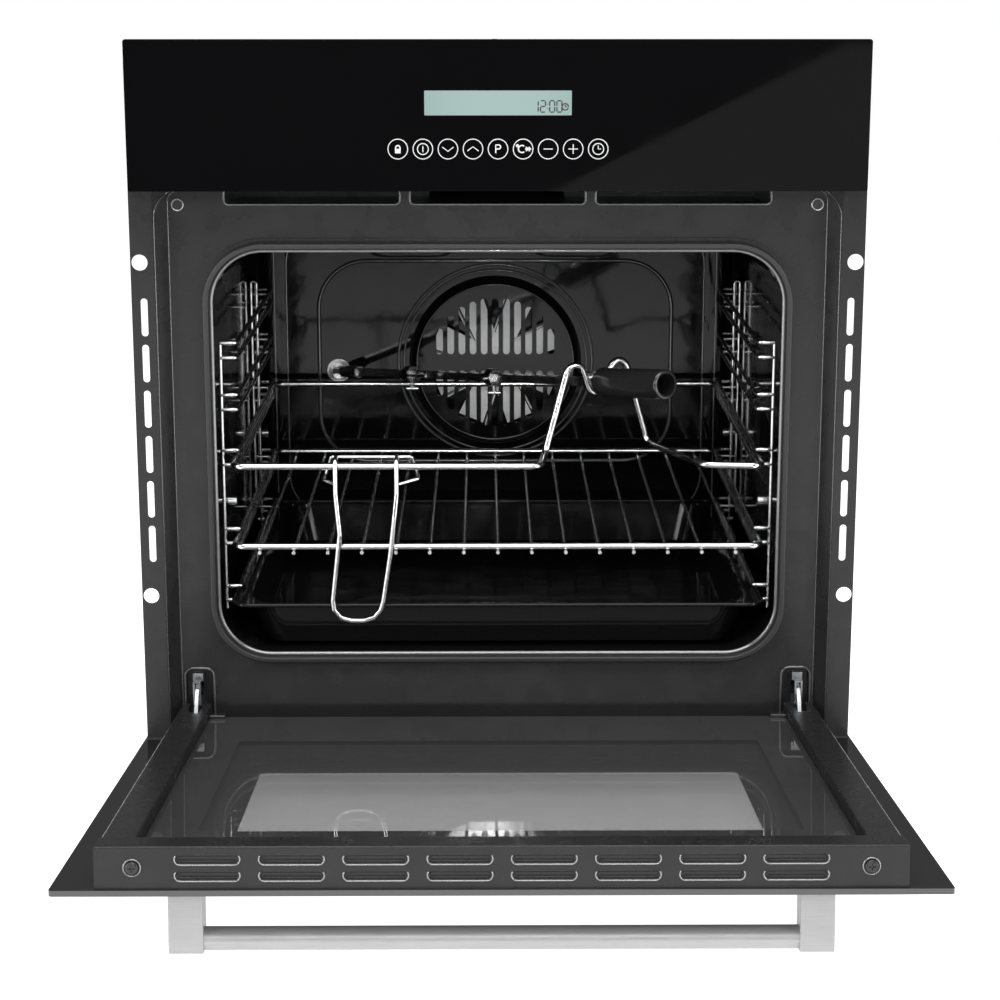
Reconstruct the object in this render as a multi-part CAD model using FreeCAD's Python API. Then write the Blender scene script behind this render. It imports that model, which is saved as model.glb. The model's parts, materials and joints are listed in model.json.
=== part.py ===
"""Built-in single wall oven, as an assembly of its separate pieces.

Everything is drawn in millimetres from the front face of the mounting flange: X to the right as seen
from the kitchen, Y into the cabinet, Z up from the underside. save() then moves each piece back by
half the body's depth, so that the origin is the centre of the flat underside.
The door is drawn closed and turned about its hinge pins to where it rests, fully open.
"""

import FreeCAD, Part
import math
import os

V = FreeCAD.Vector

# Overall sizes
FASCIA_W = 595.0  # width of the control panel and the door glass
FASCIA_H = 595.0  # underside to the top of the control panel
BODY_D = 545.0  # flange face to the rear panel
REVEAL = 20.5  # how far the fascia stands out past each side panel
BODY_TOP_GAP = 18.0  # top panel below the top of the control panel
CASE_T = 0.8  # outer case sheet
PLATE_T = 1.2  # front plate and flange sheet
RUN = 0.05  # radial clearance of a shaft in its hole
GAP = 0.3  # clearance between pieces that only lie next to each other

BODY_W = FASCIA_W - 2 * REVEAL
BODY_H = FASCIA_H - BODY_TOP_GAP

# Front plate
PLATE_Y = 14.0  # how deep the plate sits behind the flange
PLATE_BOTTOM = 16.0  # the opening door's lower edge passes below this
CHANNEL = 11.0  # width of the sloping channel beside the flange
LAP = 4.0  # plate folded out behind the side trims
RAISED_FRONT = 60.0  # the underside is raised this far back, where the door swings
RAISED_SLOPE = 16.0

# Side trims
TRIM_HOLES_Z = (140.0, 418.0)  # cabinet fixing holes
TRIM_HOLE_D = 13.0
TRIM_SLOTS = 6
TRIM_SLOT_Z = 184.5  # lowest air slot
TRIM_SLOT_PITCH = 37.8

# Cavity
WALL_SPACE = 40.0  # side panel to cavity, each side
FLOOR_SPACE = 85.0
ROOF_SPACE = 168.0  # cavity roof to the top of the control panel
BACK_SPACE = 117.0
ENAMEL_T = 1.0
CAVITY_R = 46.0
BACK_R = 28.0  # rounding between the cavity's walls and its back
MOUTH_LIP = 4.5  # mouth smaller than the cavity, each side
MOUTH_R = 42.0
GASKET_W = 5.0
GASKET_PROUD = 9.0
BEAD_W = 3.5  # ridge pressed round the gasket
BEAD_OUT = 1.6

CAVITY_W = BODY_W - 2 * WALL_SPACE
CAVITY_Z0 = FLOOR_SPACE
CAVITY_Z1 = FASCIA_H - ROOF_SPACE
CAVITY_H = CAVITY_Z1 - CAVITY_Z0
CAVITY_D = BODY_D - BACK_SPACE
MOUTH_W = CAVITY_W - 2 * MOUTH_LIP
MOUTH_Z0 = CAVITY_Z0 + 2.0
MOUTH_Z1 = CAVITY_Z1 - 2.0

# Control panel
PANEL_W = FASCIA_W - 10
PANEL_H = 118.0
PANEL_T = 4.0
PANEL_Y = -22.0
DISPLAY_W = 124.0
DISPLAY_H = 26.0
DISPLAY_DROP = 49.0  # middle of the display below the top
TOUCH_DROP = 85.0  # middle of the touch fields below the top
VENT_H = 14.0
VENT_GAP = 8.0

# Door, in its closed place
HINGE_Y = 2.0
HINGE_Z = 34.0
OPEN_ANGLE = 84.0
DOOR_Y = -21.0  # outer face of the door glass
DOOR_BACK = 12.0  # inner face of the door columns
DOOR_BOTTOM = 10.0
DOOR_GAP = 4.0  # under the control panel
GLASS_T = 4.0
PANE_BACK = 3.0  # inner face of the inner pane
COLUMN_W = 24.0
COLUMN_T = 1.2
COLUMN_X = BODY_W / 2 - 23.0
COLUMN_BOTTOM = 29.0
RAIL_H = 22.0
RAIL_DROP = 3.0
RAIL_SLOTS = 8
RAIL_PITCH = 55.2
RAIL_SLOT_L = 41.0
RAIL_SLOT_H = 5.0
PIN_R = 3.0
ARM_T = 3.0

# Handle
HANDLE_X = COLUMN_X - 43.0
HANDLE_Z = FASCIA_H - PANEL_H - 38.0
HANDLE_OUT = 47.0
POST_W = 23.5
POST_H = 18.0
BAR_R = 8.0
BOLT_R = 2.4

# Side racks and what slides on them
RACK_WIRE = 4.0
RACK_IN = 19.0  # runner wires stand in from the cavity wall
POST_IN = 5.5
RUNNER_Y0 = 50.0
RUNNER_REAR_GAP = 50.0
RACK_POST_REAR_GAP = 83.0
TRAY_LEVEL = 0.1096 * CAVITY_H  # runner height above the cavity floor
SHELF_LEVEL = 0.2558 * CAVITY_H
CRADLE_LEVEL = 0.4553 * CAVITY_H
SPARE_LEVELS = (0.5936 * CAVITY_H, 0.7222 * CAVITY_H)
GUARD = 12.5
BAR_D = 6.0
TOOL_SHARE = CAVITY_H / 342  # the lifting tool's loop is as long as the cavity allows
INSERT_Y0 = 17.0
INSERT_BACK_GAP = 23.0
SHELF_WIRE = 3.0
SHELF_WIRES = 15
SHELF_PITCH = 28.4
TRAY_DEPTH = TRAY_LEVEL - 1.5
TRAY_T = 1.2
RIM_R = 1.8

# Rotisserie
SPIT_X = -153.5  # where the spit meets the cavity's back
SPIT_RISE = CRADLE_LEVEL + 14.8  # the same point above the cavity floor
SADDLE = (85.0, 89.0, 63.7)  # the spit's rest: across, back from the flange, above the runner
HUMP_HALF = (20.0, 13.0)
HUMP_UP = 98.0
SADDLE_UP = 39.5
JOURNAL_R = 6.0
SPIT_SQ = 7.0
GRIP_R = 12.5
GRIP_L = 85.0

# Rear-wall fan
FAN_Z_UP = 0.5278 * CAVITY_H  # fan centre above the cavity floor
COVER_R = 92.0
COVER_FACE_R = 78.0
COVER_OUT = 11.0
WELL_R = 74.0
WELL_D = 16.0
FAN_R = 64.0
FAN_BLADES = 8
GRILLE_R = 65.0
GRILLE_COLS = 11
GRILLE_PITCH = 11.1
GRILLE_SLOT = 6.7
GRILLE_BRIDGE = 8.0

# Cooling blower
BLOWER_Y = 380.0
BLOWER_R = 60.0
BLOWER_H = 48.0

# Heating, lamp, probe, terminals and insulation
GRILL_LEGS = (-105.0, -42.0, 35.0, 98.0)
GRILL_Z = CAVITY_Z1 - 13.0
GRILL_Y0 = 95.0
GRILL_D = 7.0
LAMP_X = 165.0
LAMP_Y = 330.0
LAMP_R = 22.0
PROBE_X = -60.0
PROBE_Z = CAVITY_Z1 - 32.0
TERMINAL_X = -190.0
TERMINAL_Z = FASCIA_H - 65.0
INSULATION_T = 25.0

# Places that follow from the sizes above
CHANNEL_X = BODY_W / 2
PLATE_X = CHANNEL_X - CHANNEL
PLATE_SCREW_X = PLATE_X - 7.5
PLATE_SCREW_Z = FASCIA_H - PANEL_H - 14.0
PLATE_SCREW_HEAD = 1.4
POCKET_X0 = COLUMN_X - 15.0
POCKET_X1 = PLATE_X - 1.0
POCKET_TOP = 73.0
POCKET_D = 5.0
ARM_BORE = PIN_R + RUN
LOCK_Y = 8.0
LOCK_Z = 46.0
LOCK_R = 1.5
LOCK_L = 17.0
SEAT = (RACK_WIRE + BAR_D) / 2 + GAP  # centre of a bar above the centre of the runner under it
RUNNER_X = CAVITY_W / 2 - RACK_IN
SIDE_BAR_X = RUNNER_X + 2.0
INSERT_Y1 = CAVITY_D - INSERT_BACK_GAP
FAN_Z = CAVITY_Z0 + FAN_Z_UP


def save(name, shape):
    """Write one piece with its place worked out from the origin."""
    piece = shape.copy()
    piece.translate(V(0, -BODY_D / 2, 0))
    piece.exportStep("parts/" + name + ".step")


def box(x0, x1, y0, y1, z0, z1):
    return Part.makeBox(x1 - x0, y1 - y0, z1 - z0, V(x0, y0, z0))


def mirrored(shape):
    return shape.mirror(V(0, 0, 0), V(1, 0, 0))


def both(shape):
    return Part.makeCompound([shape, mirrored(shape)])


def fused(shapes):
    return shapes[0].multiFuse(shapes[1:]).removeSplitter()


def cylinder(radius, start, end):
    run = end - start
    return Part.makeCylinder(radius, run.Length, start, run)


def rounded_outline(x0, x1, z0, z1, radius, y):
    """A wire round a rectangle with rounded corners, standing in the plane at y."""
    r = min(radius, (x1 - x0) / 2 - 0.01, (z1 - z0) / 2 - 0.01)
    edges = []
    corners = ((x1 - r, z0 + r, 270), (x1 - r, z1 - r, 0), (x0 + r, z1 - r, 90), (x0 + r, z0 + r, 180))
    ends = []
    for cx, cz, start in corners:
        a, m, b = (math.radians(start + turn) for turn in (0, 45, 90))
        points = [V(cx + r * math.cos(t), y, cz + r * math.sin(t)) for t in (a, m, b)]
        ends.append(points)
    for k, points in enumerate(ends):
        edges.append(Part.Arc(*points).toShape())
        edges.append(Part.makeLine(points[2], ends[(k + 1) % 4][0]))
    return Part.Wire(edges)


def prism(x0, x1, z0, z1, radius, y0, y1):
    """A rounded rectangle extruded along Y."""
    face = Part.Face(rounded_outline(x0, x1, z0, z1, radius, y0))
    return face.extrude(V(0, y1 - y0, 0))


def ring(half_w, z0, z1, radius, width, y0, y1):
    """A rounded rectangular frame, given by its outer outline and its width."""
    outer = prism(-half_w, half_w, z0, z1, radius, y0, y1)
    inner = prism(width - half_w, half_w - width, z0 + width, z1 - width, radius - width, y0 - 1, y1 + 1)
    return outer.cut(inner)


def slab(x0, x1, y0, y1, z, radius):
    """A flat rounded-rectangle wire lying at height z."""
    wire = rounded_outline(x0, x1, y0, y1, radius, 0)
    wire.rotate(V(0, 0, 0), V(1, 0, 0), -90)
    wire = wire.mirror(V(0, 0, 0), V(0, 1, 0))
    wire.rotate(V(0, 0, 0), V(1, 0, 0), 180)
    wire.translate(V(0, 0, z))
    return wire


def profile(points, start_x, width):
    """A polygon in the YZ plane, extruded along X."""
    ring_points = [V(start_x, y, z) for y, z in points]
    wire = Part.makePolygon(ring_points + ring_points[:1])
    return Part.Face(wire).extrude(V(width, 0, 0))


def bent_wire(pts, radius):
    """Straight runs joined by tangent arcs."""
    edges = []
    here = pts[0]
    for k in range(1, len(pts) - 1):
        back = pts[k - 1] - pts[k]
        ahead = pts[k + 1] - pts[k]
        back.normalize()
        ahead.normalize()
        half = back.getAngle(ahead) / 2
        reach = radius / math.tan(half)
        inward = back + ahead
        inward.normalize()
        first = pts[k] + back * reach
        last = pts[k] + ahead * reach
        crown = pts[k] + inward * (radius / math.sin(half) - radius)
        edges.append(Part.makeLine(here, first))
        edges.append(Part.Arc(first, crown, last).toShape())
        here = last
    edges.append(Part.makeLine(here, pts[-1]))
    return Part.Wire(edges)


def rod(points, diameter, radius, closed=False):
    """Round wire bent along the points; a closed one is joined halfway along its first run."""
    pts = [V(*p) for p in points]
    if closed:
        middle = (pts[0] + pts[1]) * 0.5
        way = pts[1] - pts[0]
        way.normalize()
        pts = [middle + way] + pts[1:] + [pts[0], middle - way]
    path = bent_wire(pts, radius)
    first = path.Edges[0]
    section = Part.Wire(Part.makeCircle(diameter / 2, pts[0], first.tangentAt(first.FirstParameter)))
    swept = path.makePipeShell([section], True, False)
    if closed:
        swept = fused([swept, cylinder(diameter / 2, pts[-1], pts[0])])
    return swept


def bar(start, end, diameter):
    return cylinder(diameter / 2, V(*start), V(*end))


def opened(shape):
    """Turn a piece of the door from its closed place to fully open."""
    piece = shape.copy()
    piece.rotate(V(0, HINGE_Y, HINGE_Z), V(1, 0, 0), OPEN_ANGLE)
    return piece


def slot(x, z, length, height, y0, y1, upright=False):
    """A round-ended slot cut along Y, centred at x, z."""
    half = (length - height) / 2
    r = height / 2
    dx, dz = (0, half) if upright else (half, 0)
    ends = [bar((x + s * dx, y0, z + s * dz), (x + s * dx, y1, z + s * dz), height) for s in (-1, 1)]
    if upright:
        middle = box(x - r, x + r, y0, y1, z - half, z + half)
    else:
        middle = box(x - half, x + half, y0, y1, z - r, z + r)
    return fused(ends + [middle])


# ---------------------------------------------------------------- front of the body



def front_plate():
    """Pressed plate with the mouth, the air vents, a sloping channel each side and a hinge pocket."""
    lap_x = CHANNEL_X + LAP
    front = [(lap_x, PLATE_T), (CHANNEL_X, PLATE_T), (PLATE_X, PLATE_Y)]
    back = [(x - s, y + PLATE_T) for (x, y), s in zip(front, (0, 0.6, 0.6))]
    outline = front + [(-x, y) for x, y in front[::-1]] + [(-x, y) for x, y in back] + back[::-1]
    points = [V(x, y, PLATE_BOTTOM) for x, y in outline]
    sheet = Part.Face(Part.makePolygon(points + points[:1])).extrude(V(0, 0, BODY_H - PLATE_BOTTOM))
    half = MOUTH_W / 2 + 2.5
    mouth = prism(-half - 0.2, half + 0.2, MOUTH_Z0 - 2.7, MOUTH_Z1 + 2.7, MOUTH_R + 2.7, 0, 30)
    sheet = sheet.cut(mouth)
    edge = half + GASKET_W
    grow = 2.5 + GASKET_W + BEAD_W
    bead_z = (MOUTH_Z0 - grow, MOUTH_Z1 + grow)
    bead = ring(edge + BEAD_W, *bead_z, MOUTH_R + grow, BEAD_W, PLATE_Y - BEAD_OUT, PLATE_Y + 0.5)
    sheet = sheet.fuse(bead)
    vents = []
    step = (2 * (PLATE_X - 45.0) + VENT_GAP) / 3
    for k in (-1, 0, 1):
        low = FASCIA_H - PANEL_H - VENT_H
        x = k * step
        wide = (step - VENT_GAP) / 2
        vents.append(prism(x - wide, x + wide, low, low + VENT_H - 1, 4.0, 0, 30))
    low = PLATE_BOTTOM + 1
    pocket_hole = box(POCKET_X0, POCKET_X1, 0, 16, low, POCKET_TOP)
    floor = PLATE_Y + POCKET_D
    t = PLATE_T
    shell = box(POCKET_X0, POCKET_X1, PLATE_Y + 0.2, floor + t, low, POCKET_TOP)
    hollow = box(POCKET_X0 + t, POCKET_X1 - t, 0, floor, low + t, POCKET_TOP - t)
    mouth_slot = box(COLUMN_X - 5, COLUMN_X + 5, 0, 40, 23, 68)
    pocket = shell.cut(hollow).cut(mouth_slot)
    for piece in (pocket_hole, mirrored(pocket_hole)):
        sheet = sheet.cut(piece)
    sheet = sheet.fuse(pocket).fuse(mirrored(pocket))
    screw_holes = []
    for x in (-PLATE_SCREW_X, PLATE_SCREW_X):
        screw_holes.append(bar((x, 0, PLATE_SCREW_Z), (x, 30, PLATE_SCREW_Z), 4.4))
    return sheet.cut(Part.makeCompound(vents + screw_holes)).removeSplitter()


def side_trim():
    """Flange strip at the right, with cabinet fixing holes and air slots."""
    strip = box(CHANNEL_X, FASCIA_W / 2 - 1.5, 0, PLATE_T, PLATE_BOTTOM, BODY_H)
    cuts = []
    x = FASCIA_W / 2 - 9
    for z in TRIM_HOLES_Z:
        cuts.append(bar((x, -5, z), (x, 5, z), TRIM_HOLE_D))
    for k in range(TRIM_SLOTS):
        z = TRIM_SLOT_Z + TRIM_SLOT_PITCH * k
        cuts.append(slot(x - 2.5, z, 31.0, 5.6, -5, 5, upright=True))
    return strip.cut(Part.makeCompound(cuts))


def cross_recess(x, z, face, reach=2.1, depth=0.9):
    """The driver's cross sunk into a screw head that faces the room."""
    half = 0.4
    arms = [box(x - reach, x + reach, face - 1, face + depth, z - half, z + half)]
    arms.append(box(x - half, x + half, face - 1, face + depth, z - reach, z + reach))
    return fused(arms)


def plate_screws():
    x, z = PLATE_SCREW_X, PLATE_SCREW_Z
    face = PLATE_Y - PLATE_SCREW_HEAD
    head = cylinder(4.0, V(x, face, z), V(x, PLATE_Y, z))
    head = head.makeFillet(0.8, [head.Edges[0]])
    shank = cylinder(2.0, V(x, PLATE_Y - 1, z), V(x, PLATE_Y + 10, z))
    return both(fused([head, shank]).cut(cross_recess(x, z, face)))


def control_panel():
    """Glass, its hollow carrier, the display and the touch board."""
    top = FASCIA_H
    low = FASCIA_H - PANEL_H
    half = PANEL_W / 2
    glass = prism(-half, half, low, top, 2.0, PANEL_Y, PANEL_Y + PANEL_T)
    save("control_panel_glass", glass)
    back = PANEL_Y + PANEL_T
    z_show = top - DISPLAY_DROP
    shell = box(3 - half, half - 3, back, 0, low + 2, BODY_H)
    hollow = box(6 - half, half - 6, back + 2.5, 1, low + 5, BODY_H - 3)
    window = box(-DISPLAY_W / 2 - GAP, DISPLAY_W / 2 + GAP, back - 1, 5, z_show - 13.5, z_show + 13.5)
    save("control_panel_frame", shell.cut(hollow).cut(window))
    save("display_module", box(-DISPLAY_W / 2, DISPLAY_W / 2, back, back + 9, z_show - 13, z_show + 13))
    board = box(-100, 100, back + 2.5, back + 4.1, top - TOUCH_DROP - 11, top - TOUCH_DROP + 11)
    z_touch = top - TOUCH_DROP
    chips = [box(x, x + 8, back + 4.1, back + 6, z_touch - 4, z_touch + 4) for x in (-70, 0, 60)]
    save("touch_board", fused([board] + chips))


# ---------------------------------------------------------------- cavity and case


def rounded_box(grow, back):
    """The cavity's inside space, grown outwards, with its rear edges rounded."""
    half = CAVITY_W / 2 + grow
    block = prism(-half, half, CAVITY_Z0 - grow, CAVITY_Z1 + grow, CAVITY_R + grow, PLATE_Y + PLATE_T, back)
    edges = [e for e in block.Edges if abs(e.BoundBox.YMin - back) < 1e-6 and e.BoundBox.YLength < 1e-6]
    return block.makeFillet(BACK_R + grow, edges)


def spit_axis():
    start = V(SPIT_X, CAVITY_D - 3, CAVITY_Z0 + SPIT_RISE)
    rest = V(SADDLE[0], SADDLE[1], CAVITY_Z0 + CRADLE_LEVEL + SADDLE[2])
    way = rest - start
    reach = way.Length
    way.normalize()
    return start, way, reach


def cavity_liner():
    """Enamelled box with its front lip, fan well and holes in the back."""
    outer = rounded_box(ENAMEL_T, CAVITY_D + ENAMEL_T)
    inner = rounded_box(0, CAVITY_D)
    well_out = bar((0, CAVITY_D, FAN_Z), (0, CAVITY_D + WELL_D + ENAMEL_T, FAN_Z), 2 * (WELL_R + ENAMEL_T))
    well_in = bar((0, CAVITY_D - 5, FAN_Z), (0, CAVITY_D + WELL_D, FAN_Z), 2 * WELL_R)
    shell = outer.fuse(well_out).cut(inner).cut(well_in)
    half = MOUTH_W / 2
    wide = CAVITY_W / 2 + ENAMEL_T
    flange = prism(-wide, wide, CAVITY_Z0 - 1, CAVITY_Z1 + 1, CAVITY_R + 1, PLATE_Y + PLATE_T, PLATE_Y + 2.4)
    g = 2.4
    lip = prism(-half - g, half + g, MOUTH_Z0 - g, MOUTH_Z1 + g, MOUTH_R + g, PLATE_Y - 1.5, PLATE_Y + g)
    mouth = prism(-half, half, MOUTH_Z0, MOUTH_Z1, MOUTH_R, 0, PLATE_Y + 3)
    shell = shell.fuse(flange.fuse(lip).cut(mouth))
    start = spit_axis()[0]
    holes = [bar((0, CAVITY_D, FAN_Z), (0, CAVITY_D + 40, FAN_Z), 2 * (3 + 1.0))]
    holes.append(bar((start.x - 3.5, CAVITY_D - 9, start.z), (start.x - 3.5, CAVITY_D + 9, start.z), 24.0))
    for x in GRILL_LEGS:
        holes.append(bar((x, CAVITY_D - 14, GRILL_Z), (x, CAVITY_D + 9, GRILL_Z), GRILL_D + 2 * GAP))
    holes.append(bar((LAMP_X, LAMP_Y, CAVITY_Z1 - 5), (LAMP_X, LAMP_Y, CAVITY_Z1 + 5), 2 * LAMP_R + 2 * GAP))
    holes.append(bar((PROBE_X, CAVITY_D - 9, PROBE_Z), (PROBE_X, CAVITY_D + 9, PROBE_Z), 5.0 + 2 * GAP))
    return shell.cut(Part.makeCompound(holes)).removeSplitter()


def gasket():
    """Black rubber seal lying in the groove round the mouth."""
    half = MOUTH_W / 2 + 2.5 + GASKET_W
    z0 = MOUTH_Z0 - 2.5 - GASKET_W
    z1 = MOUTH_Z1 + 2.5 + GASKET_W
    seal = ring(half, z0, z1, MOUTH_R + 7.5, GASKET_W, PLATE_Y - GASKET_PROUD, PLATE_Y)
    front = [e for e in seal.Edges if e.BoundBox.YMax < PLATE_Y - GASKET_PROUD + 1e-6]
    return seal.makeFillet(1.6, front)


def insulation():
    wrap = rounded_box(INSULATION_T, CAVITY_D + INSULATION_T)
    wrap = wrap.cut(box(-400, 400, 0, PLATE_Y + 6, 0, 600))
    hole = rounded_box(ENAMEL_T + GAP, CAVITY_D + ENAMEL_T + GAP)
    wrap = wrap.cut(hole)
    start = spit_axis()[0]
    y0 = CAVITY_D - 60
    y1 = CAVITY_D + 60
    cuts = [bar((0, y0, FAN_Z), (0, y1, FAN_Z), 2 * WELL_R + 8)]
    cuts.append(box(start.x - 32, start.x + 25, y0, y1, start.z - 28, start.z + 28))
    cuts.append(box(-180, 180, CAVITY_D - 20, y1, CAVITY_Z1 - 40, CAVITY_Z1 - 4))
    cuts.append(bar((LAMP_X, LAMP_Y, CAVITY_Z1 - 5), (LAMP_X, LAMP_Y, CAVITY_Z1 + 60), 60))
    floor_slot = box(-195, 195, PLATE_Y, CAVITY_D, CAVITY_Z0 - 14, CAVITY_Z0 + 5)
    return wrap.cut(Part.makeCompound(cuts)).cut(floor_slot)


def case_panels():
    """Side, top, rear and base sheets."""
    half = BODY_W / 2
    front = 2 * PLATE_T + GAP
    knee = RAISED_FRONT + RAISED_SLOPE
    outline = [(front, PLATE_BOTTOM), (RAISED_FRONT, PLATE_BOTTOM), (knee, 0)]
    outline += [(BODY_D, 0), (BODY_D, BODY_H), (front, BODY_H)]
    side = profile(outline, half - CASE_T, CASE_T)
    cuts = []
    for k in range(4):
        louvre = slot(BODY_D - 295.0 + 60.0 * k, BODY_H - 68.0, 40.0, 4.0, -1, 1)
        louvre.rotate(V(0, 0, 0), V(0, 0, 1), 90)
        louvre.translate(V(half, 0, 0))
        cuts.append(louvre)
    side = side.cut(Part.makeCompound(cuts))
    save("right_side_panel", side)
    save("left_side_panel", mirrored(side))
    inner = half - CASE_T
    save("top_panel", box(-inner, inner, PLATE_Y + PLATE_T, BODY_D - CASE_T, BODY_H - CASE_T, BODY_H))
    rear = box(-inner, inner, BODY_D - CASE_T, BODY_D, CASE_T, BODY_H)
    vents = []
    for row in range(3):
        for k in range(9):
            vents.append(slot(k * 45.0 - 180.0, 350.0 + 25.0 * row, 30.0, 5.0, BODY_D - 5, BODY_D + 5))
    vents.append(bar((TERMINAL_X, BODY_D - 5, TERMINAL_Z), (TERMINAL_X, BODY_D + 5, TERMINAL_Z), 20.0))
    save("rear_panel", rear.cut(Part.makeCompound(vents)))
    t = CASE_T
    start = PLATE_Y + PLATE_T
    under = [(start, PLATE_BOTTOM), (RAISED_FRONT, PLATE_BOTTOM), (knee, 0), (BODY_D - t, 0)]
    high = PLATE_BOTTOM + t
    over = [(BODY_D - t, t), (knee + 0.4, t), (RAISED_FRONT + 0.4, high), (start, high)]
    save("base_panel", profile(under + over, -inner, 2 * inner))


def terminal_box():
    x, z = TERMINAL_X, TERMINAL_Z
    y1 = BODY_D - CASE_T
    shell = box(x - 40, x + 40, y1 - 42, y1, z - 30, z + 30)
    shell = shell.cut(box(x - 37.5, x + 37.5, y1 - 39.5, y1 - 2.5, z - 27.5, z + 27.5))
    gland = bar((x, y1 - 4, z), (x, y1 + 6, z), 19.0)
    bore = bar((x, y1 - 10, z), (x, y1 + 10, z), 11.0)
    lugs = [box(x + dx - 5, x + dx + 5, y1 - 34, y1 - 20, z - 27.5, z - 15) for dx in (-22, 0, 22)]
    return fused([shell, gland] + lugs).cut(bore)


# ---------------------------------------------------------------- heating, fan, lamp

def grill_element():
    """Two hairpin tubes under the roof, held by a flat strap."""
    z = GRILL_Z
    tubes = []
    for a, b in (GRILL_LEGS[:2], GRILL_LEGS[2:]):
        back = CAVITY_D + 14
        path = [(a, back, z), (a, GRILL_Y0, z), (b, GRILL_Y0, z), (b, back, z)]
        tubes.append(rod(path, GRILL_D, 18.0))
    strap = box(-140, 140, 175, 187, z + 3, z + 4.5)
    return fused(tubes + [strap])


def bake_element():
    """Flat heating tube under the cavity floor."""
    z = CAVITY_Z0 - ENAMEL_T - 5
    path = [(-20, CAVITY_D - 10, z), (-20, 300, z), (-170, 300, z), (-170, 70, z)]
    path += [(170, 70, z), (170, 300, z), (20, 300, z), (20, CAVITY_D - 10, z)]
    return rod(path, 7.0, 16.0)


def oven_lamp():
    cup = cylinder(LAMP_R, V(LAMP_X, LAMP_Y, CAVITY_Z1 - 9), V(LAMP_X, LAMP_Y, CAVITY_Z1 + 3))
    cup = cup.makeFillet(5.0, [cup.Edges[2]])
    holder = cylinder(LAMP_R - 4, V(LAMP_X, LAMP_Y, CAVITY_Z1 + 3), V(LAMP_X, LAMP_Y, CAVITY_Z1 + 27))
    return fused([cup, holder])


def temperature_probe():
    z = PROBE_Z
    stem = bar((PROBE_X, CAVITY_D + 14, z), (PROBE_X, CAVITY_D - 60, z), 5.0)
    collar = bar((PROBE_X, CAVITY_D - 0.2, z), (PROBE_X, CAVITY_D - 3, z), 12.0)
    return fused([stem, collar])


def fan_cover():
    """Shallow dish with two groups of upright slots either side of a solid bridge."""
    y = CAVITY_D
    t = 1.2
    face = y - COVER_OUT
    out = [(0, face), (COVER_FACE_R, face), (COVER_R - 6, y - t), (COVER_R, y - t)]
    back = [(COVER_R, y), (COVER_R - 6.5, y), (COVER_FACE_R - 0.5, face + t), (0, face + t)]
    points = [V(r, yy, 0) for r, yy in out + back]
    dish = Part.Face(Part.makePolygon(points + points[:1])).revolve(V(0, 0, 0), V(0, 1, 0), 360)
    dish.translate(V(0, 0, FAN_Z))
    cuts = []
    for k in range(GRILLE_COLS):
        x = (k - (GRILLE_COLS - 1) / 2) * GRILLE_PITCH
        tall = math.sqrt(GRILLE_R**2 - x**2)
        length = tall - GRILLE_BRIDGE
        for s in (-1, 1):
            z = FAN_Z + s * (GRILLE_BRIDGE + length / 2)
            cuts.append(slot(x, z, max(length, GRILLE_SLOT + 1), GRILLE_SLOT, y - 20, y, upright=True))
    return dish.cut(Part.makeCompound(cuts))


def convection_fan():
    """Pressed star impeller: each arm widens outwards and carries a bent vane."""
    y = CAVITY_D + 4
    outline = ((4, -9), (FAN_R, -13), (FAN_R, 13), (4, 9), (4, -9))
    arm = Part.makePolygon([V(x, y, z) for x, z in outline])
    blade = Part.Face(arm).extrude(V(0, 0.9, 0))
    vane = box(18, FAN_R, y - 7, y + 8, 11.0, 12.0)
    vane.rotate(V(18, 0, 11), V(0, 1, 0), -5)
    pieces = [bar((0, y - 4, 0), (0, y + 6, 0), 26.0)]
    for k in range(FAN_BLADES):
        for part in (blade, vane):
            turned = part.copy()
            turned.rotate(V(0, 0, 0), V(0, 1, 0), 360.0 / FAN_BLADES * k + 22.5)
            pieces.append(turned)
    pieces.append(bar((0, y, 0), (0, CAVITY_D + WELL_D + 40, 0), 6.0))
    wheel = fused(pieces)
    wheel.translate(V(0, 0, FAN_Z))
    return wheel


def fan_motor():
    y = CAVITY_D + WELL_D + ENAMEL_T
    body = bar((0, y, FAN_Z), (0, y + 46, FAN_Z), 68.0)
    plate = box(-60, 60, y, y + 1.5, FAN_Z - 18, FAN_Z + 18)
    bore = bar((0, y - 1, FAN_Z), (0, y + 47, FAN_Z), 2 * (3.0 + RUN))
    return body.fuse(plate).cut(bore)


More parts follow.
